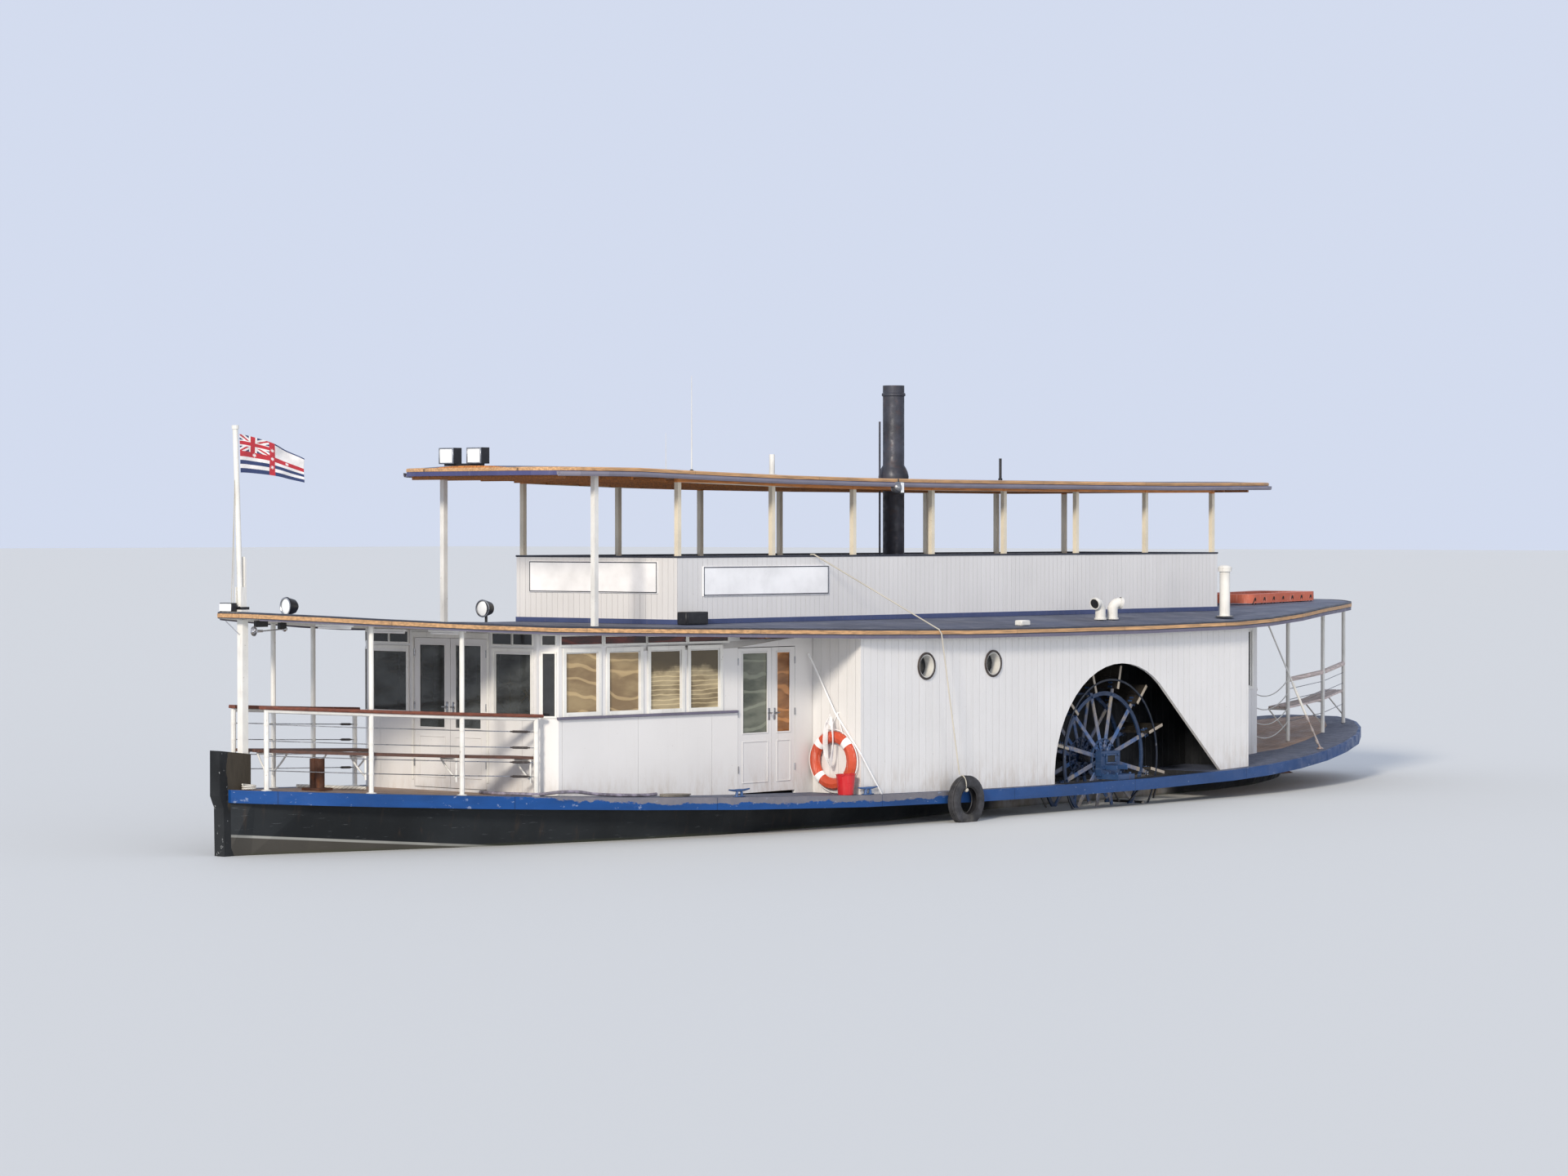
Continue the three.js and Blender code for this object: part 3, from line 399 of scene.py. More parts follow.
def worn_blue(name, colour, wear=0.6):
    """Blue gloss that is rubbed pale on its edges and scraped along its length"""
    f = Finish(name, Roughness=0.36)
    base = f.mix(f.cloudy(1.4, 5), shade(colour, 1.25), shade(colour, 0.7))
    scrape = f.span(f.noise(4, 6, 0.7, f.stretched(0.35, 0.35, 6)), 0.58, 0.68)
    base = f.over(base, scrape, wear * 0.55, (0.2, 0.25, 0.36))
    chips = f.span(f.noise(17, 5, 0.7), 0.64, 0.68)
    base = f.over(base, chips, wear, (0.32, 0.32, 0.33))
    weeps = f.span(f.noise(3, 5, 0.6, f.stretched(4, 4, 0.5)), 0.62, 0.75)
    base = f.over(base, weeps, wear * 0.6, (0.1, 0.05, 0.03))
    f.colour(base)
    f.uneven_gloss(0.28, 0.55, 8, 4)
    f.bump(f.noise(30, 4), 0.0015, 0.6)
    return f.material


def deck_boards(name, middle, pitch):
    """Caulked planks along the boat, darkened to near black with painted shade inside the wheels' chambers
    """
    f = Finish(name, Roughness=0.62)
    x, y, z = f.axes()
    grain = f.noise(3.2, 7, 0.62, f.stretched(0.8, 14, 14))
    tone = f.board_tone(y, pitch)
    base = f.mix(f.span(grain, 0.3, 0.7), shade(middle, 1.3), shade(middle, 0.7))
    base = f.over(base, tone, 0.3, shade(middle, 0.7))
    dirt = f.span(f.noise(1.4, 6, 0.65), 0.48, 0.72)
    base = f.over(base, dirt, 0.5, (0.14, 0.13, 0.13))
    seam = f.seams(y, pitch, 0.006)
    base = f.over(base, seam, 0.75, (0.015, 0.014, 0.013))
    # Painted shade: near black inside the wheels' chambers
    across = f.sum("GREATER_THAN", f.sum("ABSOLUTE", y), 1.69)
    chamber = f.times(across, f.times(f.span(x, -2.98, -2.96), f.span(x, 5.6, 5.62, 1.0, 0.0)))
    base = f.mix(chamber, base, (0.012, 0.013, 0.015))
    f.colour(base)
    f.uneven_gloss(0.5, 0.75, 3, 5)
    f.bump(seam, 0.003)
    f.bump(f.noise(40, 4), 0.0012, 0.5)
    return f.material


def frame_paint(colour, beam):
    """White posts whose head beam is oiled timber"""
    f = Finish("canopy_frame_paint", Roughness=0.42)
    x, y, z = f.axes()
    cloudy = f.span(f.noise(2.3, 5), 0.3, 0.75)
    posts = f.mix(cloudy, shade(colour, 1.04), shade(colour, 0.86))
    posts = f.over(posts, f.span(f.noise(24, 4, 0.65), 0.67, 0.7), 0.35, (0.25, 0.2, 0.16))
    grain = f.noise(3.2, 7, 0.62, f.stretched(0.8, 14, 14))
    wood = f.mix(f.span(grain, 0.3, 0.7), shade(beam, 0.65), shade(beam, 1.35))
    beam_foot = f.span(x, -4.9, -1.2, 4.364, 4.298)
    f.colour(f.mix(f.sum("GREATER_THAN", z, beam_foot), posts, wood))
    f.bump(f.noise(45, 3), 0.0008, 0.5)
    return f.material


def muddy_spokes(colour, mud):
    """Blue spokes under dried mud, paler towards the rim"""
    f = Finish("muddy_spokes", Roughness=0.6)
    x, y, z = f.axes()
    dx = f.sum("SUBTRACT", x, 2.62)
    dz = f.sum("SUBTRACT", z, 0.645)
    reach = f.sum("SQRT", f.sum("ADD", f.times(dx, dx), f.times(dz, dz)))
    patches = f.span(f.noise(5, 6, 0.7), 0.36, 0.6)
    amount = f.times(patches, f.span(reach, 0.3, 0.8, 0.35, 1.0))
    base = f.mix(f.cloudy(3, 5), shade(colour, 1.3), shade(colour, 0.7))
    f.colour(f.mix(amount, base, f.mix(f.noise(11, 4), mud, shade(mud, 0.6))))
    f.bump(f.noise(35, 4), 0.002, 0.7)
    return f.material


def old_iron(name, colour, rust=(0.16, 0.06, 0.025), rusting=0.4, roughness=0.6, metallic=0.3):
    f = Finish(name, Roughness=roughness, Metallic=metallic)
    base = f.mix(f.cloudy(3, 6), shade(colour, 1.4), shade(colour, 0.65))
    patches = f.span(f.noise(9, 7, 0.68), 0.5, 0.66)
    base = f.over(base, patches, rusting, rust)
    f.colour(base)
    f.uneven_gloss(roughness - 0.12, roughness + 0.15, 14, 4)
    f.bump(f.noise(28, 6, 0.7), 0.002, 0.7)
    return f.material


def pane_glass(name, tint, alpha, reflection_colour=None, fine=False):
    """Window glass, unevenly see-through, whose colour carries a painted reflection of the bank: tint and a
    mostly warm reflection colour smeared together, wavy painted highlights, and on fine panes a darker
    painted reflection above a ragged line
    """
    f = Finish(name, Roughness=0.06, IOR=1.5)
    smear_and_reflection = f.noise(1.6, 4, 0.5, f.stretched(1.2, 1.2, 3.5))
    # Painted reflection: the tint and the reflection colour, mixed unevenly
    base = f.mix(f.span(smear_and_reflection, 0.35, 0.68), tint, reflection_colour or shade(tint, 1.5))
    scale, distortion = (5.5, 4.0) if fine else (1.6, 14.0)
    waves = {"Scale": scale, "Distortion": distortion, "Detail": 3.0, "Detail_Scale": 0.9}
    waves["Vector"] = f.stretched(0.5, 0.5, 1.0)
    ripple = f.add("ShaderNodeTexWave", waves, bands_direction="Z").outputs["Fac"]
    # Painted highlights: wavy bright bands of reflection
    base = f.over(base, f.span(ripple, 0.82, 0.97), 0.5 if reflection_colour else 0.12, shade(reflection_colour or tint, 1.9))
    if fine:
        # Fine panes: darker above a ragged line, painted reflection
        ragged = f.sum("ADD", f.axes()[2], f.cloudy(3, 4, to=(-0.06, 0.06)))
        base = f.mix(f.span(ragged, 1.98, 2.1), base, shade(tint, 0.5))
    f.colour(base)
    f.feed(f.shader, {"Alpha": f.span(smear_and_reflection, 0.3, 0.7, alpha[0], alpha[1])})
    f.rough(f.span(f.noise(12, 3), 0.4, 0.7, 0.03, 0.12))
    return f.material


def cloth(name, colour, scale=900):
    """Woven bunting"""
    f = Finish(name, Roughness=0.82, Sheen_Weight=0.25)
    threads = {"Scale": scale / 6.28, "Distortion": 0.4}
    weave = f.add("ShaderNodeTexWave", threads, bands_direction="Z").outputs["Fac"]
    weft = f.add("ShaderNodeTexWave", threads, bands_direction="X").outputs["Fac"]
    both = f.times(f.sum("ADD", weave, weft), 0.5)
    base = f.mix(f.cloudy(7, 5), shade(colour, 1.06), shade(colour, 0.8))
    base = f.over(base, both, 0.25, shade(colour, 0.6))
    f.colour(base)
    f.bump(both, 0.0006, 0.6)
    return f.material


def rubber(name, colour=(0.016, 0.016, 0.018)):
    f = Finish(name, Roughness=0.75)
    base = f.mix(f.span(f.noise(8, 6, 0.65), 0.35, 0.7), colour, shade(colour, 3.2))
    base = f.over(base, f.span(f.noise(2.4, 4), 0.55, 0.75), 0.5, (0.12, 0.11, 0.09))
    f.colour(base)
    f.bump(f.noise(80, 4), 0.0015, 0.7)
    return f.material


def rope_fibre(name, colour):
    """Laid rope: strands slant round the piece's own length, which its UV map carries"""
    f = Finish(name, Roughness=0.85)
    uv = f.add("ShaderNodeUVMap", uv_map="UVMap").outputs[0]
    u, v, w = f.axes(uv)
    slant = f.sum("MULTIPLY_ADD", v, 3.0, u)
    strand = f.sum("PINGPONG", slant, 0.5)
    # Grooves between the strands darkened: painted shade
    base = f.mix(f.span(strand, 0.0, 0.16), shade(colour, 0.35), colour)
    base = f.over(base, f.span(f.noise(18, 5), 0.4, 0.7), 0.45, shade(colour, 0.55))
    f.colour(base)
    f.bump(f.span(strand, 0.0, 0.3), 0.003)
    return f.material


paints = {}


def mix_paints(sizes, colours):
    """Fills the table of finishes by name"""
    white = tuple(colours.gloss_white)
    roof = tuple(colours.roof)
    brown = (0.37, 0.245, 0.175)
    made = {
        "walls": wall_boards("bulwark_boards", tuple(colours.wall), sizes.board_pitch, 0.12, 0.13),
        "walls_plain": wall_boards("painted_panels", tuple(colours.wall), 1.22, 0.06, 0.08),
        "walls_box": wall_boards("box_boards", tuple(colours.wall), 0.14, 0.12, 0.06, box_chamber_shade_mask),
        "walls_engine": wall_boards(
            "engine_side_boards", tuple(colours.wall), 0.14, 0.12, 0.06, chamber_side_shade_mask
        ),
        "board_white": gloss_paint("name_board_white", (0.9, 0.9, 0.9), wear=0.05),
        "band_blue": gloss_paint("foot_band_blue", (0.05, 0.07, 0.17), wear=0.3, roughness=0.5),
        # Near-black, nearly opaque pane: painted shade of the unlit space behind the glass
        "dark_glass": pane_glass("dark_pane", (0.015, 0.017, 0.02), (0.85, 0.97)),
        "white": gloss_paint("white_gloss", white),
        "dull_white": gloss_paint("dull_white", shade(white, 0.95), wear=0.5, roughness=0.55),
        "blue": scuffed_strake("strake_blue", tuple(colours.strake)),
        "cleat_blue": worn_blue("worn_blue_gloss", tuple(colours.blue)),
        "wheel_blue": worn_blue("wheel_blue", shade(colours.blue, 0.6), 0.6),
        "rim_blue": worn_blue("rim_blue", shade(colours.blue, 0.4), 0.5),
        "hull": hull_paint(tuple(colours.hull)),
        "roof": gloss_paint("roof_blue_grey", roof, chip=(0.2, 0.2, 0.2), wear=0.3, roughness=0.6),
        "roof_sheet": roof_sheets("roof_sheets", roof),
        "roof_dark": gloss_paint("edge_dark", shade(roof, 0.35), wear=0.2, roughness=0.5),
        "deck": deck_boards("deck_boards", brown, sizes.plank_pitch),
        "deck_margin": gloss_paint("deck_margin", roof, chip=(0.25, 0.24, 0.22), wear=0.5, roughness=0.6),
        "canopy": canopy_finish("canopy_shell", tuple(colours.timber), roof),
        "soffit_white": timber("roof_soffit", (0.6, 0.57, 0.5), 0.14, 1),
        "frame": frame_paint((0.72, 0.65, 0.51), shade(colours.timber, 1.2)),
        "spokes": muddy_spokes(tuple(colours.blue), (0.36, 0.31, 0.25)),
        # Float faces near black: wet, and painted shade
        "wet_board": timber("wet_and_shaded_boards", (0.03, 0.026, 0.022), 0.4, 1, roughness=0.35),
        # Near-black painted shade, used under the lower roof over the wheels and in the bearing slot
        "chamber": gloss_paint(
            "chamber_painted_shade", (0.01, 0.011, 0.013), chip=(0.05, 0.045, 0.04), wear=0.3, roughness=0.6
        ),
        "soffit_beam": timber("soffit_beam", shade(colours.timber, 0.8), 2.2, 0),
        "fascia": gloss_paint(
            "fascia_slate", (0.13, 0.12, 0.17), chip=(0.2, 0.2, 0.2), wear=0.4, roughness=0.5
        ),
        "canopy_blue": gloss_paint(
            "canopy_fascia_blue", (0.055, 0.06, 0.17), chip=(0.2, 0.2, 0.22), wear=0.3, roughness=0.5
        ),
        "gutter": gloss_paint(
            "gutter_grey", (0.2, 0.19, 0.24), chip=(0.1, 0.08, 0.07), wear=0.4, roughness=0.5
        ),
        "band": timber("roof_band_timber", (0.52, 0.30, 0.14), 2.4, 0),
        "rail": timber("rail_timber", tuple(colours.rail), 1.9, 0),
        "bench": timber("bench_timber", (0.1, 0.045, 0.03), 1.9, 0),
        "pale_timber": timber("weathered_slats", (0.62, 0.52, 0.48), 1.9, 0, roughness=0.65),
        "soot": old_iron("sooty_iron", (0.036, 0.038, 0.05), rusting=0.12, roughness=0.5),
        "rust": old_iron("rusty_iron", (0.09, 0.04, 0.025), rusting=0.8, roughness=0.8),
        "steel": old_iron("greased_steel", (0.3, 0.31, 0.33), rusting=0.15, roughness=0.35, metallic=0.9),
        "black": gloss_paint("black_gloss", (0.012, 0.012, 0.014), chip=(0.1, 0.1, 0.1), wear=0.25),
        "stem": stem_paint(),
        "orange": gloss_paint(
            "life_orange", tuple(colours.orange), chip=(0.75, 0.6, 0.55), wear=0.35, roughness=0.45
        ),
        "red": gloss_paint("pail_red", (0.5, 0.015, 0.02), wear=0.15, roughness=0.3),
        "wheel_tan": gloss_paint(
            "float_tan", (0.38, 0.33, 0.27), chip=(0.12, 0.1, 0.08), wear=0.7, roughness=0.7
        ),
        # Panes given a reflection colour carry a painted reflection with wavy painted highlights
        "glass": pane_glass("clear_pane", (0.05, 0.055, 0.055), (0.35, 0.75)),
        "warm_glass": pane_glass("warm_pane", (0.2, 0.15, 0.08), (0.9, 0.98), (0.42, 0.34, 0.2), fine=True),
        "rusty_glass": pane_glass("orange_reflecting_pane", (0.16, 0.06, 0.02), (0.9, 0.98), (0.34, 0.15, 0.05)),
        "amber_glass": pane_glass("amber_pane", (0.23, 0.155, 0.08), (0.9, 0.98), (0.34, 0.25, 0.13)),
        "green_glass": pane_glass("green_pane", (0.07, 0.08, 0.06), (0.85, 0.98), (0.16, 0.17, 0.13)),
        "ruby_glass": pane_glass("ruby_pane", (0.03, 0.014, 0.012), (0.95, 1.0), (0.09, 0.015, 0.008)),
        "salmon": gloss_paint(
            "faded_orange", (0.52, 0.13, 0.075), chip=(0.62, 0.4, 0.36), wear=0.6, roughness=0.55
        ),
        "rope_white": gloss_paint("white_line", (0.85, 0.85, 0.85), wear=0.1, roughness=0.8),
        "lens": gloss_paint("lamp_lens", (0.85, 0.87, 0.88), wear=0.1, roughness=0.08),
        "edge_brown": gloss_paint(
            "dark_rim", (0.045, 0.035, 0.032), chip=(0.2, 0.18, 0.16), wear=0.5, roughness=0.5
        ),
        # Outer hoop blue darkened nearly to black: painted shade
        "hoop": worn_blue("hoop_blue_painted_shade", shade(colours.blue, 0.09), 0.3),
        "rubber": rubber("old_rubber"),
        "rope": rope_fibre("laid_rope", (0.68, 0.66, 0.6)),
        "rope_grey": rope_fibre("old_rope", (0.3, 0.27, 0.23)),
        "rope_thin": gloss_paint("thin_line", (0.5, 0.47, 0.4), wear=0.2, roughness=0.8),
        "flaking": old_iron("flaking_white_iron", (0.45, 0.4, 0.38), rusting=0.7),
        "chrome": gloss_paint("chrome", (0.6, 0.6, 0.62), wear=0.1, roughness=0.15, metallic=1.0),
        "hose": rubber("grey_hose", (0.11, 0.1, 0.125)),
        "flag_white": cloth("bunting_white", (0.75, 0.74, 0.74)),
        "flag_red": cloth("bunting_red", (0.45, 0.02, 0.035)),
        "flag_blue": cloth("bunting_blue", (0.02, 0.04, 0.13)),
        "brass": old_iron(
            "old_brass", (0.5, 0.33, 0.1), rust=(0.1, 0.08, 0.03), rusting=0.4, roughness=0.35, metallic=0.9
        ),
    }
    paints.update(made)


# Modelling helpers


def keep(bm, name, finish, body="boat", smooth=None, outward=True):
    """Makes the mesh an object that moves with a body; finish is one paint or several by face index"""
    if outward:
        bmesh.ops.recalc_face_normals(bm, faces=bm.faces)
    mesh = bpy.data.meshes.new(name)
    bm.to_mesh(mesh)
    bm.free()
    for each in [finish] if isinstance(finish, str) else finish:
        mesh.materials.append(paints[each])
    if smooth is not None:
        mesh.shade_smooth()
        mesh.set_sharp_from_angle(angle=math.radians(smooth))
    made = bpy.data.objects.new(name, mesh)
    bpy.context.scene.collection.objects.link(made)
    if body:
        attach(made, body)
    return made


def block(bm, low, high, soft=0.0, turn=None, finish=0):
    """A box between two corners with its edges eased"""
    low, high = Vector(low), Vector(high)
    shape = Matrix.Translation((low + high) / 2) @ Matrix.Diagonal((*(high - low), 1))
    made = bmesh.ops.create_cube(bm, size=1, matrix=(turn or Matrix()) @ shape)["verts"]
    edges = {e for v in made for e in v.link_edges}
    faces = {f for v in made for f in v.link_faces}
    for face in faces:
        face.material_index = finish
    if soft:
        bmesh.ops.bevel(
            bm, geom=list(edges), offset=soft, affect="EDGES", segments=1, profile=0.5, material=-1
        )


def rod(bm, a, b, radius, sides=8, end=None, finish=0):
    """A round bar from a to b, tapered where end gives another radius"""
    a, b = Vector(a), Vector(b)
    turn = (b - a).to_track_quat("Z", "Y").to_matrix().to_4x4()
    made = bmesh.ops.create_cone(
        bm, cap_ends=True, segments=sides, radius1=radius, radius2=radius if end is None else end,
        depth=(b - a).length, matrix=Matrix.Translation((a + b) / 2) @ turn,
    )["verts"]
    for face in {f for v in made for f in v.link_faces}:
        face.material_index = finish


def turned(bm, outline, centre=(0, 0, 0), axis=UP, steps=24, finish=0):
    """Spins an outline of (radius, height) rows once round an axis"""
    turn = Matrix.Translation(centre) @ Vector(axis).to_track_quat("Z", "Y").to_matrix().to_4x4()
    verts = [bm.verts.new(turn @ Vector((r, 0, h))) for r, h in outline]
    edges = [bm.edges.new(pair) for pair in zip(verts, verts[1:])]
    if (Vector(outline[0]) - Vector(outline[-1])).length < 1e-6:
        bmesh.ops.remove_doubles(bm, verts=[verts[0], verts[-1]], dist=1e-5)
        verts = [v for v in verts if v.is_valid]
        edges = [e for e in edges if e.is_valid]
    before = set(bm.faces)
    bmesh.ops.spin(
        bm, geom=verts + edges, cent=centre, axis=turn.to_3x3() @ UP, angle=math.tau, steps=steps,
        use_merge=True,
    )
    made = [f for f in bm.faces if f not in before]
    bmesh.ops.remove_doubles(bm, verts=list({v for f in made for v in f.verts}), dist=1e-5)
    for face in bm.faces:
        if face not in before:
            face.material_index = finish


def carry(bm, outline, stations, closed=False, finish=0):
    """Carries a flat outline along stations; each is a point, an outward and an upward direction"""
    rings = [[at + out * a + up * b for a, b in outline] for at, out, up in stations]
    if closed:
        rings.append(rings[0])
    before = set(bm.faces)
    verts = [bm.verts.new(p) for p in rings[0]]
    edges = [bm.edges.new((verts[i - 1], verts[i])) for i in range(len(verts))]
    first = list(edges)
    for ring in rings[1:]:
        made = bmesh.ops.extrude_edge_only(bm, edges=edges)["geom"]
        fresh = {v for v in made if isinstance(v, bmesh.types.BMVert)}
        verts = [next(e.other_vert(v) for e in v.link_edges if e.other_vert(v) in fresh) for v in verts]
        edges = [e for e in made if isinstance(e, bmesh.types.BMEdge) and set(e.verts) <= fresh]
        for vert, place in zip(verts, ring):
            vert.co = place
    if closed:
        made = [f for f in bm.faces if f not in before]
        bmesh.ops.remove_doubles(bm, verts=list({v for f in made for v in f.verts}), dist=1e-5)
    else:
        bmesh.ops.contextual_create(bm, geom=first)
        bmesh.ops.contextual_create(bm, geom=edges)
    for face in bm.faces:
        if face not in before:
            face.material_index = finish


def round_outline(radius, sides):
    turns = [math.tau * i / sides for i in range(sides)]
    return [(radius * math.cos(a), radius * math.sin(a)) for a in turns]


def path_stations(points, closed=False):
    """Stations for carry along any line, kept from twisting"""
    points = [Vector(p) for p in points]
    count = len(points)
    stations = []
    out = None
    for i, p in enumerate(points):
        before = points[i - 1] if i or closed else p
        after = points[(i + 1) % count] if i < count - 1 or closed else p
        ahead = (after - before).normalized()
        if out is None:
            out = ahead.orthogonal().normalized()
        out = (out - ahead * out.dot(ahead)).normalized()
        stations.append((p, out, ahead.cross(out)))
    return stations


def tube(bm, points, radius, sides=8, closed=False, finish=0):
    carry(bm, round_outline(radius, sides), path_stations(points, closed), closed, finish)


def smooth_path(points, steps):
    """Even steps along a smooth line through the points"""
    points = [Vector(p) for p in points]
    ends = [points[0] * 2 - points[1], *points, points[-1] * 2 - points[-2]]
    fine = []
    for a, b, c, d in zip(ends, ends[1:], ends[2:], ends[3:]):
        square = a * 2 - b * 5 + c * 4 - d
        cube = b * 3 - a - c * 3 + d
        for k in range(20):
            t = k / 20
            fine.append(0.5 * (b * 2 + (c - a) * t + square * t**2 + cube * t**3))
    fine.append(points[-1])
    run = [0.0]
    for a, b in zip(fine, fine[1:]):
        run.append(run[-1] + (b - a).length)
    path, i = [], 0
    for k in range(steps + 1):
        reach = run[-1] * k / steps
        while i < len(run) - 2 and run[i + 1] < reach:
            i += 1
        path.append(fine[i].lerp(fine[i + 1], (reach - run[i]) / (run[i + 1] - run[i])))
    return path


def wind_uv(bm, path, radius):
    """UV map of a tube along that path: u runs along it, v once round it"""
    layer = bm.loops.layers.uv.new("UVMap")
    stations = path_stations(path)
    run = [0.0]
    for a, b in zip(path, path[1:]):
        run.append(run[-1] + (b - a).length / (radius * 2.4))
    places = {}
    for vert in bm.verts:
        k = min(range(len(path)), key=lambda i: (path[i] - vert.co).length_squared)
        at, out, up = stations[k]
        places[vert] = (run[k], math.atan2((vert.co - at).dot(up), (vert.co - at).dot(out)) / math.tau)
    for face in bm.faces:
        rounds = [places[loop.vert][1] for loop in face.loops]
        for loop, v in zip(face.loops, rounds):
            loop[layer].uv = (places[loop.vert][0], v + 1 if max(rounds) - v > 0.5 else v)


def add_cord(name, points, radius, finish, steps=32):
    """A free rope or hose along a smooth line"""
    path = smooth_path(points, steps)
    bm = bmesh.new()
    tube(bm, path, radius, 8)
    wind_uv(bm, path, radius)
    made = keep(bm, name, finish, smooth=60)


def on_deck(rows, lift):
    """Points that high over the main deck; a third number in a row raises its point further"""
    return [Vector((x, y, drop("main_deck", x, y) + lift + sum(rise))) for x, y, *rise in rows]


def edge_stations(node):
    """Stations round a plate's outline seen from above, anticlockwise; each is at the plate's underside"""
    points = {}
    for v in nodes[node].data.vertices:
        key = (round(v.co.x, 4), round(v.co.y, 4))
        low, high = points.get(key, (v.co.z, v.co.z))
        points[key] = (min(low, v.co.z), max(high, v.co.z))
    flat = [p for p, (low, high) in points.items() if high - low > 0.02]
    hull = [Vector(flat[i]) for i in convex_hull_2d([Vector(p) for p in flat])]
    if sum(a.x * b.y - b.x * a.y for a, b in zip(hull, hull[1:] + hull[:1])) < 0:
        hull.reverse()
    loop = []
    for a, b in zip(hull, hull[1:] + hull[:1]):
        along = (b - a).normalized()
        on_edge = []
        for p in flat:
            q = Vector(p) - a
            t = q.dot(along)
            if abs(q.x * along.y - q.y * along.x) < 0.002 and -1e-4 <= t < (b - a).length - 1e-3:
                on_edge.append((t, p))
        last = None
        for t, p in sorted(on_edge):
            if last is None or t - last > 0.02:
                loop.append(p)
                last = t
    stations = []
    for i, p in enumerate(loop):
        before, here, after = Vector(loop[i - 1]), Vector(p), Vector(loop[(i + 1) % len(loop)])
        a = (here - before).normalized()
        b = (after - here).normalized()
        out = Vector((a.y + b.y, -a.x - b.x)).normalized()
        stretch = 1 / max(0.5, out.dot(Vector((b.y, -b.x))))
        low, high = points[p]
        out = Vector((out.x, out.y, 0)) * stretch
        stations.append((Vector((here.x, here.y, low)), out, UP, high - low))
    return stations


def side_run(stations, x0, x1, side):
    """The stations of one side between two x positions, bow first, with new ones at the ends"""
    run = sorted((s for s in stations if s[0].y * side > 0), key=lambda s: s[0].x)
    kept = []
    for a, b in zip(run, run[1:]):
        for x in (x0, x1):
            if a[0].x < x <= b[0].x:
                t = (x - a[0].x) / (b[0].x - a[0].x)
                kept.append((a[0].lerp(b[0], t), a[1].lerp(b[1], t), UP, a[3]))
        if x0 < b[0].x < x1:
            kept.append(b)
    return sorted(kept, key=lambda s: s[0].x)


def cut_across(bm, point, normal):
    whole = [*bm.verts, *bm.edges, *bm.faces]
    bmesh.ops.bisect_plane(bm, geom=whole, plane_co=point, plane_no=normal)


trees = {}


def drop(node, x, y, above=20.0):
    """Height of a CAD node's top below a point"""
    if node not in trees:
        mesh = nodes[node].data
        faces = [tuple(p.vertices) for p in mesh.polygons]
        trees[node] = BVHTree.FromPolygons([v.co.copy() for v in mesh.vertices], faces)
    hit = trees[node].ray_cast(Vector((x, y, above)), Vector((0, 0, -1)))[0]
    if hit is None:
        raise ValueError(f"nothing of {node} lies under {x}, {y}")
    return hit.z


def drop_under(node, x, y):
    """Height of a CAD node's underside above a point"""
    drop(node, x, y)
    return trees[node].ray_cast(Vector((x, y, 1.0)), UP)[0].z


class Wall:
    """A wall face: s runs aft or inboard along it, d stands out of it"""

    def __init__(self, start, end, side=1):
        self.start = Vector((*start, 0))
        self.along = (Vector((*end, 0)) - self.start).normalized()
        self.out = Vector((self.along.y, -self.along.x, 0)) * side
        along, out = self.along, self.out
        rows = (along.x, out.x, 0, start[0]), (along.y, out.y, 0, start[1]), (0, 0, 1, 0), (0, 0, 0, 1)
        self.turn = Matrix(rows)

    def slab(self, bm, s0, s1, z0, z1, d0, d1, soft=0.0, finish=0):
        block(bm, (s0, d0, z0), (s1, d1, z1), soft, self.turn, finish)

    def sash(self, bm, s0, s1, z0, z1, d0, d1, width, soft=0.003, finish=0):
        """A frame of four bars inside that rectangle"""
        self.slab(bm, s0, s0 + width, z0, z1, d0, d1, soft, finish)
        self.slab(bm, s1 - width, s1, z0, z1, d0, d1, soft, finish)
        self.slab(bm, s0 + width, s1 - width, z0, z0 + width, d0, d1, soft, finish)
        self.slab(bm, s0 + width, s1 - width, z1 - width, z1, d0, d1, soft, finish)

    def point(self, s, d, z):
        return self.turn @ Vector((s, d, z))


# Operators: one for each piece or group of like pieces


class MixPaints(bpy.types.Operator):
    """Make the finishes that the other pieces use"""

    bl_idname = "steamer.mix_paints"
    bl_label = "Finishes"

    def execute(self, context):
        mix_paints(context.scene.steamer_sizes, context.scene.steamer_colours)
        return {"FINISHED"}


FRAME_PAINTS = {
    "hull": "hull",
    "stem_post": "stem",
    "main_deck": "deck",
    "rub_strake": "blue",
    "fore_cabin": "walls_plain",
    "cabin_bulkhead": "walls_plain",
    "engine_room_side": "walls_engine",
    "aft_cabin_wall": "walls_plain",
    "paddle_box": "walls_box",
    "lower_roof": "roof",
    "upper_bulwark": "walls",
    "canopy": "canopy",
    "canopy_frame": "frame",
    "canopy_prop": "white",
    "bow_rail": "white",
    "aft_rail": "dull_white",
    "bow_bench": "bench",
    "bow_post": "white",
    "boiler": "soot",
    "engine": "steel",
    "funnel": "soot",
    "steam_pipe": "soot",
    "paddle_wheel": "wheel_blue",
    "paddle_shaft": "steel",
    "wheel_bearing": "wheel_blue",
    "rudder": "rust",
    "helm": "brass",
    "mast": "white",
    "mast_housing": "white",
    "flag": "flag_white",
    "bow_bollard": "rust",
    "tyre_fender": "rubber",
    "life_ring": "orange",
    "bucket": "red",
    "cowl_vent": "dull_white",
    "vent_pipe": "dull_white",
    "life_float": "salmon",
    "search_lamp": "black",
    "floodlights": "black",
    "front_door": "walls_plain",
    "side_door": "walls_plain",
    "aft_door": "walls_plain",
}


class PaintFrame(bpy.types.Operator):
    """Give every node of the frame its finish"""

    bl_idname = "steamer.paint_frame"
    bl_label = "Paint the frame"

    def execute(self, context):
        for name, node in nodes.items():
            found = [key for key in FRAME_PAINTS if name.startswith(key)]
            if not found:
                raise ValueError(f"no finish is listed for {name}")
            finish = paints[FRAME_PAINTS[max(found, key=len)]]
            node.data.materials.clear()
            node.data.materials.append(finish)
        return {"FINISHED"}


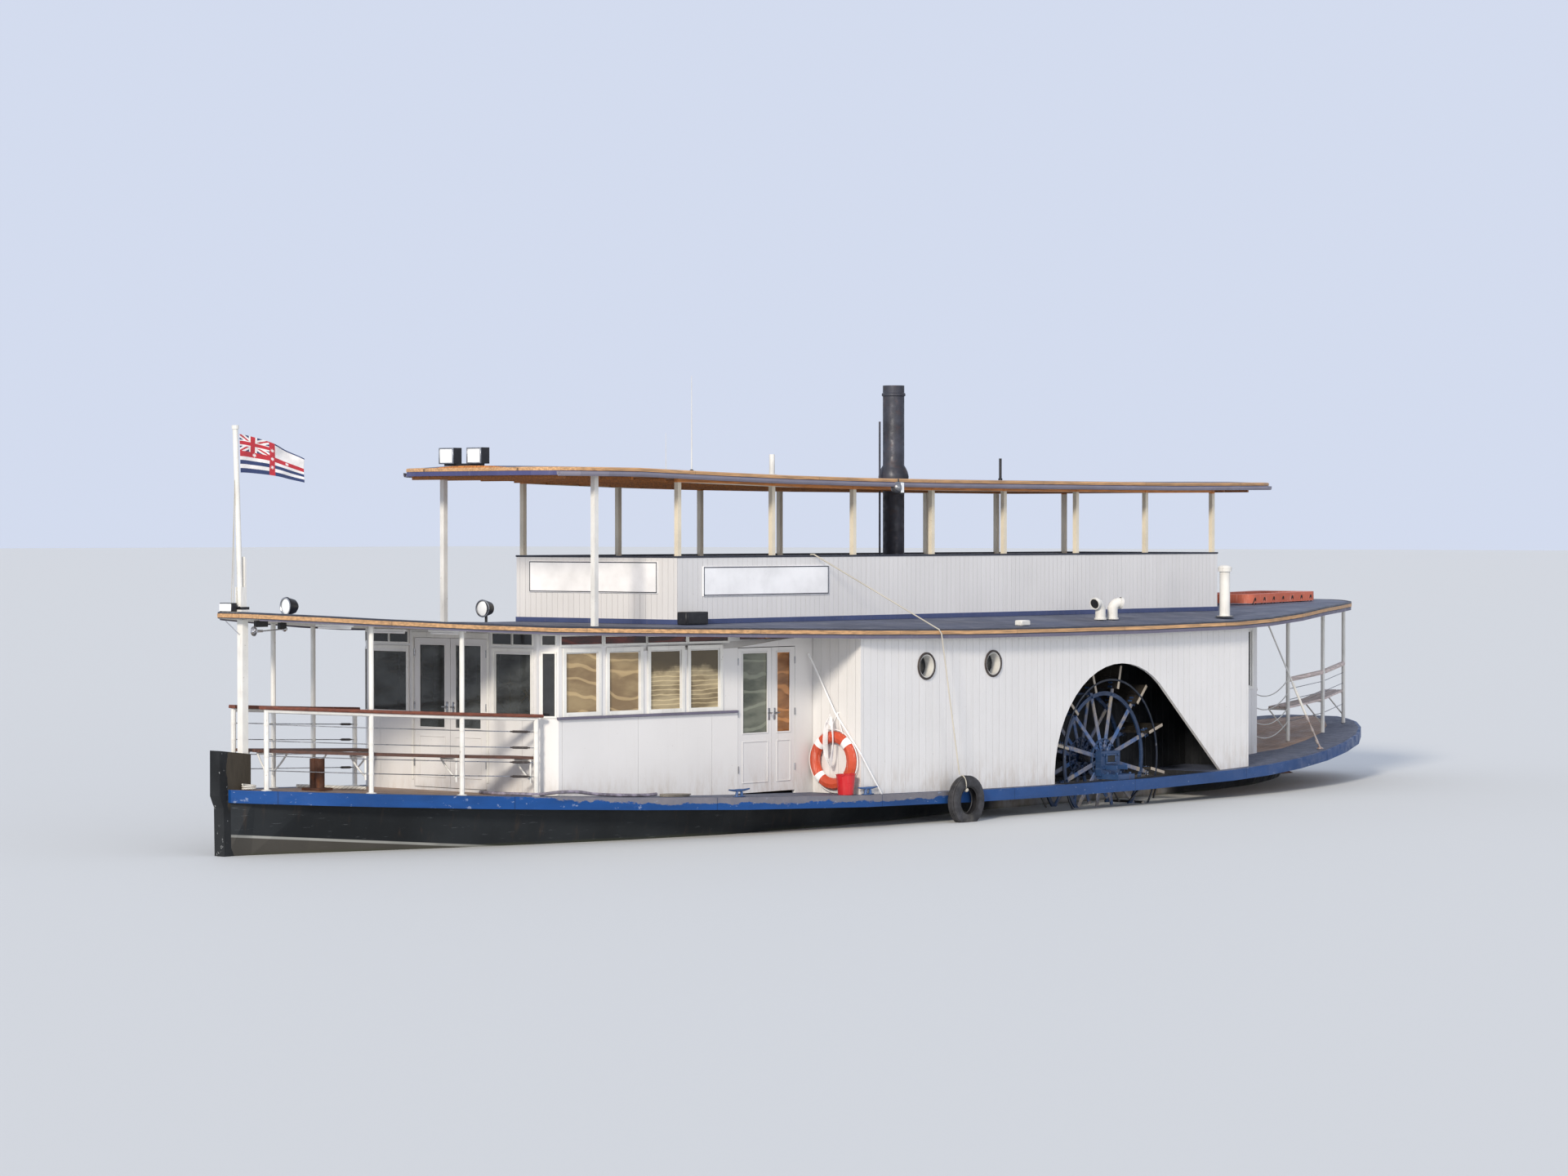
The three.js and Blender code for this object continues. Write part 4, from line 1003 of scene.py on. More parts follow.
def model_lower_roof(sizes):
    band = sizes.roof_band
    inset = 0.012
    stations = edge_stations("lower_roof")
    shift = {(round(s[0].x, 3), round(s[0].y, 3)): s[1] * inset for s in stations}
    bm = bmesh.new()
    bm.from_mesh(nodes["lower_roof"].data)
    bmesh.ops.remove_doubles(bm, verts=bm.verts, dist=0.0001)
    for vert in bm.verts:
        out = shift.get((round(vert.co.x, 3), round(vert.co.y, 3)))
        if out:
            vert.co -= out
    for x in (-2.955, 5.595):
        cut_across(bm, (x, 0, 0), (1, 0, 0))
    for y in (-2.72, -1.69, 1.69, 2.72):
        cut_across(bm, (0, y, 0), (0, 1, 0))
    for face in bm.faces:
        middle = face.calc_center_median()
        over_wheel = -2.955 < middle.x < 5.595 and 1.69 < abs(middle.y) < 2.72
        # Underside faces over the wheels take the chamber finish, which is painted shade
        face.material_index = (2 if over_wheel else 1) if face.normal.z < -0.5 else 0
    roof = keep(bm, "roof_shell", ["roof_sheet", "soffit_white", "chamber"])
    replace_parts(roof, "lower_roof")

    bm = bmesh.new()
    thick = stations[0][3]
    low = (thick - band) / 2
    rails = [s[:3] for s in stations]
    carry(bm, [(0, low), (0, low + band), (-inset, low + band), (-inset, low)], rails, closed=True)
    keep(bm, "roof_band", "band")

    bm = bmesh.new()
    edge = 0.004
    # Dark strip below the band: painted shadow under the band; the strip above it and the capping are dark
    # paint
    carry(bm, [(-edge, 0.0), (-edge, low), (-inset, low), (-inset, 0.0)], rails, closed=True)
    carry(
        bm, [(-edge, low + band), (-edge, thick), (-inset, thick), (-inset, low + band)], rails, closed=True
    )
    capping = [(-edge, thick), (-0.008, thick + 0.006), (-0.05, thick + 0.012), (-0.05, thick - 0.01)]
    carry(bm, capping, rails, closed=True)
    keep(bm, "roof_edge_lines", "roof_dark")

    bm = bmesh.new()
    for side in (-1, 1):
        run = [
            (at, out, up * min(1.0, 0.35 + max(0.0, (at.x + 9.5) / 9)))
            for at, out, up, high in side_run(stations, -11.0, 11.2, side)
        ]
        carry(bm, [(-0.007, -CLEAR), (-0.007, -0.042), (-0.03, -0.042), (-0.03, -CLEAR)], run)
    keep(bm, "roof_fascia", "fascia")


class AddLowerRoof(bpy.types.Operator):
    """Lower roof with its timber band, dark edges with a painted shadow strip under the band, boarded
    underside, and painted shade over the wheels
    """

    bl_idname = "steamer.add_lower_roof"
    bl_label = "Lower roof"

    def execute(self, context):
        model_lower_roof(context.scene.steamer_sizes)
        return {"FINISHED"}


# Runs of the grey deck paint before and behind the wheels, and its breadth at places along the boat
MARGIN_RUNS = ((-10.88, 1.17), (4.57, 11.39))
MARGIN_WIDTHS = (
    (-11.4, 0.1), (-10.6, 0.2), (-7.7, 0.24), (-7.3, 0.5), (-4.6, 0.95),
    (5.6, 1.2), (7.3, 1.0), (8.0, 0.75), (11.4, 0.5),
)


def margin_width(x):
    """Breadth of the grey paint along the deck edge"""
    for (x0, w0), (x1, w1) in zip(MARGIN_WIDTHS, MARGIN_WIDTHS[1:]):
        if x0 <= x <= x1:
            return w0 + (w1 - w0) * (x - x0) / (x1 - x0)
    raise ValueError(f"the deck doesn't reach to {x}")


def model_deck_margin():
    stations = edge_stations("main_deck")
    bm = bmesh.new()
    lift = 0.0025
    for side in (-1, 1):
        for x0, x1 in MARGIN_RUNS:
            run = []
            for at, out, up, high in side_run(stations, x0, x1, side):
                out = out.normalized()
                wide = Vector((0, out.y * margin_width(at.x) / max(0.3, abs(out.y)), 0))
                top = drop("main_deck", at.x, at.y - 0.004 * side)
                run.append((Vector((at.x, at.y - 0.002 * side, top)), wide, up))
            carry(bm, [(0.0, CLEAR), (0.0, lift), (-1.0, lift), (-1.0, CLEAR)], run)
    keep(bm, "deck_margin", "deck_margin")


class AddDeckMargin(bpy.types.Operator):
    """Grey non-slip paint along the edge of the main deck"""

    bl_idname = "steamer.add_deck_margin"
    bl_label = "Deck margin"

    def execute(self, context):
        model_deck_margin()
        return {"FINISHED"}


def model_canopy():
    stations = edge_stations("canopy")
    rails = [s[:3] for s in stations]
    bm = bmesh.new()
    band = [(0.0, 0.05), (0.014, 0.052), (0.014, 0.086), (0.004, 0.094), (-0.03, 0.098), (-0.03, 0.05)]
    carry(bm, band, rails, True)
    keep(bm, "canopy_band", "band")
    bm = bmesh.new()
    fascia = [(0.0, -0.004), (0.008, -0.004), (0.008, 0.05), (0.0, 0.05), (-0.02, 0.03)]
    carry(bm, fascia, rails, True)
    keep(bm, "canopy_fascia", "canopy_blue")
    bm = bmesh.new()
    trough = [
        (0.012, 0.042), (0.018, 0.006), (0.04, -0.014), (0.066, -0.012), (0.078, 0.012), (0.078, 0.042),
        (0.072, 0.042), (0.071, 0.014), (0.062, -0.006), (0.042, -0.008), (0.024, 0.01), (0.018, 0.042),
    ]
    for side in (-1, 1):
        run = [s[:3] for s in side_run(stations, -7.02, 8.12, side)]
        run = [(at, Vector((0, side, 0)), up) for at, out, up in run]
        carry(bm, trough, run)
        for i in range(17):
            x = -6.75 + i * 0.92
            at = side_run(stations, x, x + 0.02, side)[0][0]
            y0, y1 = (at.y - 0.078, at.y) if side < 0 else (at.y, at.y + 0.08)
            block(bm, (x - 0.012, y0, at.z + 0.036), (x + 0.012, y1, at.z + 0.044))
    keep(bm, "canopy_gutters", "gutter")
    bm = bmesh.new()
    for i in range(25):
        x = -6.9 + i * 0.61
        if abs(x - 1.05) < 0.22:
            continue
        run = side_run(stations, x, x + 0.03, 1)
        if not run:
            continue
        half = min(run[0][0].y - 0.05, 1.305)
        z = run[0][0].z
        block(bm, (x - 0.02, -half, z - 0.046), (x + 0.02, half, z - 0.002), 0.004)
    keep(bm, "canopy_rafters", "soffit_beam")


class AddCanopy(bpy.types.Operator):
    """Canopy edge: timber band, dark fascia, gutters and rafters"""

    bl_idname = "steamer.add_canopy"
    bl_label = "Canopy trim"

    def execute(self, context):
        model_canopy()
        return {"FINISHED"}


# Fore cabin faces of the port side, bow first; the other side is their mirror
FORE_CORNER = (-7.38, 1.66)
FORE_LENGTH = 2.92
FORE_WINDOWS = ((-7.26, -6.76), (-6.57, -6.08), (-5.90, -5.40), (-5.24, -4.76))
FORE_WINDOW_Z = (1.55, 2.29)
FORE_TRANSOMS = ((-7.34, -6.70), (-6.64, -5.985), (-5.95, -5.325), (-5.27, -4.62))
TRANSOM_FOOT = 2.392
SILL_Z = (1.49, 1.522)
HOUSE_FRONT = -7.55
HOUSE_HALF = 1.69
FRONT_HALF = 1.46
FRONT_WINDOWS = ((0.1, 0.7), (2.22, 2.82))
FRONT_WINDOW_Z = (1.53, 2.28)
CORNER_WIDTH = 0.2358
# Inset, foot and head, width and front of the frame of a corner panel's lower and upper light
CORNER_LIGHTS = ((0.045, (1.535, 2.285), 0.025, 0.014), (0.04, (TRANSOM_FOOT, 2.50), 0.02, 0.012))
AFT_SIDE_WINDOW = (6.9, 7.27)
AFT_SIDE_WINDOW_Z = (1.475, 2.3)
AFT_WINDOWS = ((HOUSE_HALF - 1.35, HOUSE_HALF - 0.7), (HOUSE_HALF + 0.7, HOUSE_HALF + 1.35))
AFT_WINDOW_Z = (1.5, 2.25)
# Width, front and easing of a window's lining, margin and depth of its pane, front of its casing
SLIM_FIT = (0.010, -0.006, 0.002, 0.002, -0.018, 0.016)
STOUT_FIT = (0.022, -0.004, 0.003, 0.004, -0.02, 0.014)


def fore_wall(side):
    """The tapering cabin side, with s measured from its fore end"""
    return Wall((FORE_CORNER[0], side * FORE_CORNER[1]), (-4.46, side * 1.95), -side)


def add_window(wall, frames, panes, span, height, fit, casing, glass):
    """Lining, pane and casing; casing says how far it goes beside, below and above, and its width"""
    (s0, s1), (z0, z1) = span, height
    lining, lining_front, eased, margin, pane_back, casing_front = fit
    beside, below, above, width = casing
    wall.sash(frames, s0, s1, z0, z1, -0.03, lining_front, lining, eased)
    wall.sash(frames, s0 - beside, s1 + beside, z0 - below, z1 + above, CLEAR, casing_front, width)
    wall.slab(panes, s0 + margin, s1 - margin, z0 + margin, z1 - margin, pane_back, pane_back + glass)


def add_light(wall, frames, dark, span, height, reach, width, front=0.014):
    """A dark pane on the wall; reach is how far its frame goes beside, below and above it"""
    (s0, s1), (z0, z1), (beside, below, above) = span, height, reach
    wall.slab(dark, s0, s1, z0, z1, CLEAR, 0.004)
    wall.sash(frames, s0 - beside, s1 + beside, z0 - below, z1 + above, CLEAR, front, width, 0.002)


def add_side_windows(name, side, glass):
    """Windows, transom lights and sill of the fore cabin's side, and the lamp over its doors"""
    wall = fore_wall(side)

    def along(places):
        return [(x - FORE_CORNER[0]) / wall.along.x for x in places]

    frames, panes, bright, dark, sill, lamp = (bmesh.new() for i in range(6))
    casing = (0.056, 0.028, 0.056, 0.052)
    for i, places in enumerate(FORE_WINDOWS):
        pane = bright if i > 1 else panes
        add_window(wall, frames, pane, along(places), FORE_WINDOW_Z, SLIM_FIT, casing, glass)
    for places in FORE_TRANSOMS:
        span = along(places)
        head = min(drop_under("lower_roof", x, wall.point(span[0], 0.02, 0).y) for x in places) - 0.004
        add_light(wall, frames, dark, span, (TRANSOM_FOOT, head), (0.028, 0.027, 0.0), 0.026)
    wall.slab(sill, -0.03, FORE_LENGTH / wall.along.x - 0.012, *SILL_Z, CLEAR, 0.04, 0.004)
    over_door = Wall((-4.44, side * 1.953), (-3.34, side * 1.953), -side)
    head = drop_under("lower_roof", -3.9, side * 1.97) - 0.004
    over_door.slab(dark, 0.03, 1.07, 2.4, head, CLEAR, 0.004)
    over_door.slab(lamp, 0.51, 0.59, 2.405, head - 0.005, 0.0045, 0.02, 0.002)
    keep(frames, f"window_frames_{name}", "white")
    keep(panes, f"window_panes_{name}", "amber_glass")
    keep(bright, f"window_panes_bright_{name}", "warm_glass")
    keep(dark, f"transom_lights_{name}", "ruby_glass")
    keep(lamp, f"door_lamp_{name}", "rusty_glass")
    keep(sill, f"window_sill_{name}", "fascia")


def add_front_windows(glass):
    """Windows, transom lights and door casing of the cabin's front, and the lights of its corner panels"""
    front = Wall((HOUSE_FRONT, -FRONT_HALF), (HOUSE_FRONT, FRONT_HALF), -1)
    frames, panes, dark = (bmesh.new() for i in range(3))
    head = drop_under("lower_roof", HOUSE_FRONT, 0.9) - 0.012
    for s0, s1 in FRONT_WINDOWS:
        add_window(
            front, frames, panes, (s0, s1), FRONT_WINDOW_Z, SLIM_FIT, (0.05, 0.03, 0.065, 0.046), glass
        )
        middle = (s0 + s1) / 2
        for span in ((s0 - 0.03, middle - 0.015), (middle + 0.015, s1 + 0.03)):
            add_light(front, frames, dark, span, (TRANSOM_FOOT, head), (0.02, 0.022, 0.006), 0.02)
    leaf_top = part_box("front_door_port")[1].z + 0.004
    bars = ((0.80, 0.83, 0.70, leaf_top), (2.09, 2.12, 0.70, leaf_top), (0.80, 2.12, leaf_top, 2.52))
    for s0, s1, z0, z1 in bars:
        front.slab(frames, s0, s1, z0, z1, CLEAR, 0.016, 0.003)
    for side in (-1, 1):
        corner = Wall((-7.505, FRONT_HALF * side), (FORE_CORNER[0], FORE_CORNER[1] * side), -side)
        for inset, height, width, proud in CORNER_LIGHTS:
            span = (inset, CORNER_WIDTH - inset)
            add_light(corner, frames, dark, span, height, (width, width, width), width, proud)
    keep(frames, "front_window_frames", "white")
    keep(panes, "front_window_panes", "glass")
    keep(dark, "front_transom_lights", "dark_glass")


def model_cabin_windows(sizes):
    glass = sizes.glass_thick
    for name, side in SIDES:
        add_side_windows(name, side, glass)
        wall = Wall((0, side * HOUSE_HALF), (1, side * HOUSE_HALF), -side)
        frames, panes = bmesh.new(), bmesh.new()
        casing = (0.05, 0.035, 0.04, 0.046)
        add_window(wall, frames, panes, AFT_SIDE_WINDOW, AFT_SIDE_WINDOW_Z, STOUT_FIT, casing, glass)
        keep(frames, f"aft_side_window_frame_{name}", "white")
        keep(panes, f"aft_side_window_pane_{name}", "dark_glass")
    aft_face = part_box("aft_cabin_wall")[1].x
    wall = Wall((aft_face, -HOUSE_HALF), (aft_face, HOUSE_HALF))
    frames, panes = bmesh.new(), bmesh.new()
    for span in AFT_WINDOWS:
        add_window(wall, frames, panes, span, AFT_WINDOW_Z, STOUT_FIT, (0.05, 0.04, 0.04, 0.046), glass)
    keep(frames, "aft_window_frames", "white")
    keep(panes, "aft_window_panes", "dark_glass")
    add_front_windows(glass)


class AddCabinWindows(bpy.types.Operator):
    """Sashes, panes, transom lights and trim of the cabin's windows"""

    bl_idname = "steamer.add_cabin_windows"
    bl_label = "Cabin windows"

    def execute(self, context):
        model_cabin_windows(context.scene.steamer_sizes)
        return {"FINISHED"}


def add_surround(bm, low, high, out, inner, z0, z1, soft):
    """Four bars round a house seen from above, from out beyond its faces to inner inside them"""
    end = max(inner, 0.0)
    for x0, x1, y0, y1 in (
        (low.x - out, high.x + out, low.y - out, low.y + inner),
        (low.x - out, high.x + out, high.y - inner, high.y + out),
        (low.x - out, low.x + inner, low.y + end, high.y - end),
        (high.x - inner, high.x + out, low.y + end, high.y - end),
    ):
        block(bm, (x0, y0, z0), (x1, y1, z1), soft)


def model_bulwark(sizes):
    low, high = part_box("upper_bulwark")
    bm = bmesh.new()
    add_surround(bm, low, high, 0.012, 0.034, high.z + CLEAR, high.z + 0.024, 0.006)
    keep(bm, "bulwark_cap", "roof_dark")
    bm = bmesh.new()
    add_surround(bm, low, high, 0.01, -CLEAR, low.z + 0.001, low.z + 0.062, 0.002)
    keep(bm, "bulwark_foot_band", "band_blue")
    boards, lines = bmesh.new(), bmesh.new()
    rows = [(Wall((low.x, -1.154), (low.x, 1.154), -1), 0.083, 2.308, 2.972, 3.374)]
    for side in (-1, 1):
        rows.append((Wall((-4.475, side * 1.39), (-2.019, side * 1.39), -side), 0.0, 2.456, 2.935, 3.312))
    margin = 0.008
    for wall, s0, s1, z0, z1 in rows:
        wall.slab(boards, s0, s1, z0, z1, CLEAR, 0.016, 0.003)
        line = (
            s0 + margin, s1 - margin, z0 + margin, z1 - margin, 0.016, 0.0185, sizes.name_board_border, 0.0
        )
        wall.sash(lines, *line)
    keep(boards, "bare_name_boards", "board_white")
    keep(lines, "name_board_lines", "roof_dark")


class AddBulwark(bpy.types.Operator):
    """Cap, foot band and bare name boards of the upper bulwark"""

    bl_idname = "steamer.add_bulwark"
    bl_label = "Bulwark trim"

    def execute(self, context):
        model_bulwark(context.scene.steamer_sizes)
        return {"FINISHED"}


BOW_POSTS = ((-10.836, 0.282, False), (-9.695, 0.84, True), (-8.634, 1.278, True), (-7.665, 1.56, False))
AFT_POSTS = ((8.9, 1.24), (9.89, 1.21), (10.83, 0.97))
BOW_RAIL_TOP = 0.962
BOW_WIRES = (0.235, 0.405, 0.58, 0.77)
AFT_RAIL_MIDDLE = 0.92
BENCH_TOP = 0.478
BENCH_WIDTH = 0.30
BENCH_GAP = 0.034


def add_bench(name, side, posts):
    """Three slats on brackets, each a leg at the rail post and a curved strut to the seat's inner edge"""
    slats, irons = bmesh.new(), bmesh.new()
    seat = []
    for p in posts:
        inner = max(abs(p.y) - BENCH_GAP - BENCH_WIDTH, 0.04)
        seat.append((Vector((p.x, 0, p.z + BENCH_TOP - 0.036)), inner, abs(p.y) - BENCH_GAP))
    for k in range(3):
        rings = []
        for at, inner, outer in seat:
            wide = (outer - inner - 0.02) / 3
            y0 = inner + k * (wide + 0.01)
            rings.append((at + Vector((0, side * y0, 0)), Vector((0, side * wide, 0)), UP))
        carry(slats, [(0, 0), (1, 0), (1, 0.035), (0, 0.035)], rings)
    for p, (at, inner, outer), shift in zip(posts, seat, (0.05, -0.05, -0.05, -0.05)):
        x = p.x + shift
        leg = Vector((x, side * (outer - 0.012), 0))
        rod(irons, leg + UP * (p.z + 0.16), leg + UP * (at.z - 0.001), 0.013, 8)
        head = Vector((x, side * (inner + 0.03), at.z - 0.006))
        foot = leg + UP * (p.z + 0.2)
        sag = Vector((0, 0, 0.02))
        points = [foot.lerp(head, t / 6) - sag * (4 * (t / 6) * (1 - t / 6)) for t in range(7)]
        tube(irons, points, 0.012, 8)
        top = Vector((x, side * (inner + 0.03), at.z - 0.012))
        rod(irons, top, leg + UP * (at.z - 0.012), 0.011, 8)
    made = keep(slats, f"bow_bench_slats_{name}", "bench")
    keep(irons, f"bow_bench_brackets_{name}", "dull_white", smooth=50)
    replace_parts(made, f"bow_bench_{name}")


def model_bow_rails(sizes):
    wire = sizes.wire_radius
    for name, side in SIDES:
        posts = [Vector((x, y * side, drop("main_deck", x, y * side))) for x, y, tall in BOW_POSTS]
        cap, wires, fittings, screws = (bmesh.new() for i in range(4))
        line = [p + UP * (BOW_RAIL_TOP - 0.019) for p in posts]
        line[-1] += (line[-1] - line[-2]).normalized() * 0.06
        line[0] -= (line[1] - line[0]).normalized() * 0.05
        outward = Vector((0, side, 0))
        outline = [(-0.05, 0.0), (0.05, 0.0), (0.058, 0.012), (0.05, 0.04), (-0.05, 0.04), (-0.058, 0.012)]
        carry(cap, outline, [(p, outward, UP) for p in line])
        keep(cap, f"bow_rail_cap_{name}", "rail")
        back = (posts[-2] - posts[-1]).normalized()
        for level in BOW_WIRES:
            for a, b in zip(posts, posts[1:]):
                rod(wires, a + UP * level, b + UP * level, wire, 6)
            start = posts[-1] + UP * level + back * 0.12
            rod(screws, start, start + back * 0.2, 0.015, 8)
            for reach in (0.0, 0.2):
                rod(screws, start + back * (reach - 0.035), start + back * (reach + 0.035), 0.009, 8)
            for post in posts:
                rod(fittings, post + UP * (level - 0.012), post + UP * (level + 0.012), 0.034, 12)
        for post in posts:
            foot = [(0.0, 0.0), (0.062, 0.0), (0.062, 0.008), (0.034, 0.014), (0.0, 0.014)]
            turned(fittings, foot, post + UP * 0.002, UP, 16)
        keep(wires, f"bow_wires_{name}", "steel", smooth=60)
        keep(screws, f"bow_turnbuckles_{name}", "edge_brown", smooth=50)
        keep(fittings, f"bow_rail_fittings_{name}", "dull_white", smooth=50)
        add_bench(name, side, posts)


class AddBowRails(bpy.types.Operator):
    """Timber cap, wires with turnbuckles, post flanges and bench slats at the bow"""

    bl_idname = "steamer.add_bow_rails"
    bl_label = "Bow rails and benches"

    def execute(self, context):
        model_bow_rails(context.scene.steamer_sizes)
        return {"FINISHED"}


def model_aft_rails(sizes):
    wire = sizes.wire_radius
    for name, side in SIDES:
        posts = [Vector((x, y * side, drop("main_deck", x, y * side))) for x, y in AFT_POSTS]
        wires, chains, slats, irons = (bmesh.new() for i in range(4))
        for level in (0.3, 0.62, 0.78):
            for a, b in zip(posts, posts[1:]):
                rod(wires, a + UP * level, b + UP * level, wire, 6)
        house = Vector((7.44, 1.55 * side, drop("main_deck", 7.44, 1.55 * side)))
        for level in (0.3, 0.5, 0.72, 0.92):
            a, b = house + UP * level, posts[0] + UP * level
            points = [a.lerp(b, t / 14) - UP * (0.16 * 4 * (t / 14) * (1 - t / 14)) for t in range(15)]
            tube(chains, points, 0.008, 6)
        for a, b in zip(posts, posts[1:]):
            a, b = a + UP * AFT_RAIL_MIDDLE, b + UP * AFT_RAIL_MIDDLE
            along = (b - a).normalized()
            rod(slats, a + along * 0.032, b - along * 0.032, 0.036, 12)
        inner = [p + Vector((0, -0.2 * side, 0.485)) for p in posts]
        stations = [(p, Vector((0, side, 0)), UP) for p in inner]
        for shift in (-0.1, 0.02, 0.14):
            outline = [(shift - 0.05, 0), (shift + 0.05, 0), (shift + 0.05, 0.03), (shift - 0.05, 0.03)]
            carry(slats, outline, stations)
        for p in posts:
            seat = p + Vector((0, -0.35 * side, 0.475))
            rod(irons, p + UP * 0.12, seat, 0.012, 6)
            rod(irons, p + UP * 0.475, seat, 0.012, 6)
        keep(wires, f"aft_wires_{name}", "steel", smooth=60)
        keep(chains, f"aft_chains_{name}", "dull_white", smooth=60)
        keep(slats, f"aft_bench_{name}", "pale_timber")
        keep(irons, f"aft_bench_irons_{name}", "dull_white", smooth=60)


class AddAftRails(bpy.types.Operator):
    """Mid rails, wires, sagging chains and benches round the aft deck"""

    bl_idname = "steamer.add_aft_rails"
    bl_label = "Aft rails"

    def execute(self, context):
        model_aft_rails(context.scene.steamer_sizes)
        return {"FINISHED"}


PORTHOLES = ((-1.68, 2.02), (-0.28, 2.02))
PORTHOLE_RIM = (
    (0.149, 0.001), (0.149, 0.014), (0.156, 0.022), (0.172, 0.022), (0.178, 0.014), (0.178, 0.001),
    (0.149, 0.001),
)
BOX_HALF = 2.75


def model_portholes():
    for name, side in SIDES:
        rims, glass, tubes = bmesh.new(), bmesh.new(), bmesh.new()
        for x, z in PORTHOLES:
            centre = Vector((x, BOX_HALF * side, z))
            turned(rims, PORTHOLE_RIM, centre, (0, side, 0), 32)
            for i in range(8):
                a = math.tau * (i + 0.5) / 8
                at = centre + Vector((0.164 * math.cos(a), 0.021 * side, 0.164 * math.sin(a)))
                rod(rims, at, at + Vector((0, 0.006 * side, 0)), 0.007, 6)
            lining = [(0.1405, -0.13), (0.1485, -0.13), (0.1485, 0.012), (0.1405, 0.012)]
            turned(tubes, lining + [lining[0]], centre, (0, side, 0), 32)
            at = centre - Vector((0, 0.122 * side, 0))
            rod(glass, at, at - Vector((0, 0.006 * side, 0)), 0.140, 32)
        keep(tubes, f"porthole_linings_{name}", "dull_white", smooth=40)
        keep(rims, f"porthole_rims_{name}", "edge_brown", smooth=40)
        keep(glass, f"porthole_glass_{name}", "dark_glass")


class AddPortholes(bpy.types.Operator):
    """Porthole rims and glass in the paddle boxes"""

    bl_idname = "steamer.add_portholes"
    bl_label = "Portholes"

    def execute(self, context):
        model_portholes()
        return {"FINISHED"}


def model_door_detail():
    rows = []
    for name, side in SIDES:
        rows.append((f"side_door_fore_{name}", (0, side), 0.084, (0.745, 1.752), 1))
        rows.append((f"side_door_aft_{name}", (0, side), 0.096, (0.745, 1.752), -1))
        rows.append((f"front_door_{name}", (-1, 0), 0.088, (0.731, 1.748), -side))
    rows.append(("aft_door", (1, 0), 0.12, (0.9, 1.65), 1))
    for leaf, out, rail, (foot, head), swing in rows:
        low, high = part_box(leaf)
        if out[0] == 0:
            face = high.y if out[1] > 0 else low.y
            wall = Wall((low.x, face), (high.x, face), 1 if out[1] < 0 else -1)
            width = high.x - low.x
        else:
            face = high.x if out[0] > 0 else low.x
            wall = Wall((face, low.y), (face, high.y), 1 if out[0] > 0 else -1)
            width = high.y - low.y
        z = low.z
        trim, glass, metal = bmesh.new(), bmesh.new(), bmesh.new()
        s0, s1 = rail - 0.012, width - rail + 0.012
        wall.sash(trim, s0, s1, z + foot - 0.012, z + head + 0.012, 0.0004, 0.008, 0.018)
        wall.sash(trim, rail - 0.01, width - rail + 0.01, z + 0.12, z + foot - 0.1, 0.0004, 0.008, 0.014)
        wall.slab(
            glass, rail + 0.002, width - rail - 0.002, z + foot + 0.002, z + head - 0.002, -0.014, -0.008
        )
        knob = width - 0.05 if swing > 0 else 0.05
        wall.slab(metal, knob - 0.018, knob + 0.018, z + 0.9, z + 1.05, 0.0004, 0.006, 0.002)
        rod(metal, wall.point(knob, 0.006, z + 0.99), wall.point(knob, 0.045, z + 0.99), 0.01, 10)
        tip = wall.point(knob - 0.05 * swing, 0.045, z + 0.99)
        rod(metal, tip, wall.point(knob + 0.008 * swing, 0.045, z + 0.99), 0.009, 10)
        edge = 0.0 if swing > 0 else width
        for level in (0.25, 0.95, 1.6):
            at = wall.point(edge, 0.006, z + level)
            rod(metal, at, at + UP * 0.09, 0.008, 8)
        keep(trim, f"{leaf}_mouldings", "walls_plain", body=leaf)
        tint = "glass"
        if leaf.startswith("side_door"):
            tint = "green_glass" if "fore" in leaf else "rusty_glass"
        keep(glass, f"{leaf}_glass", tint, body=leaf)
        keep(metal, f"{leaf}_ironwork", "steel", body=leaf, smooth=50)


class AddDoorDetail(bpy.types.Operator):
    """Glass, mouldings, handles and hinges of the doors; each rides with its own leaf"""

    bl_idname = "steamer.add_door_detail"
    bl_label = "Doors"

    def execute(self, context):
        model_door_detail()
        return {"FINISHED"}


LAMP_BOWL = (
    (0.0, -0.13), (0.05, -0.125), (0.085, -0.09), (0.108, 0.0), (0.116, 0.012), (0.116, 0.03), (0.1, 0.03),
    (0.0, 0.024),
)
LAMP_LENS = ((0.0, 0.012), (0.05, 0.010), (0.09, 0.002), (0.098, -0.004), (0.0, -0.004))
LAMP_RIM = ((0.096, -0.004), (0.112, 0.004), (0.112, 0.012), (0.1, 0.014), (0.092, 0.006), (0.096, -0.004))
CANOPY_LAMP = Vector((-0.8, -1.6, 4.325))
TIP_LAMP_HEIGHT = 0.108


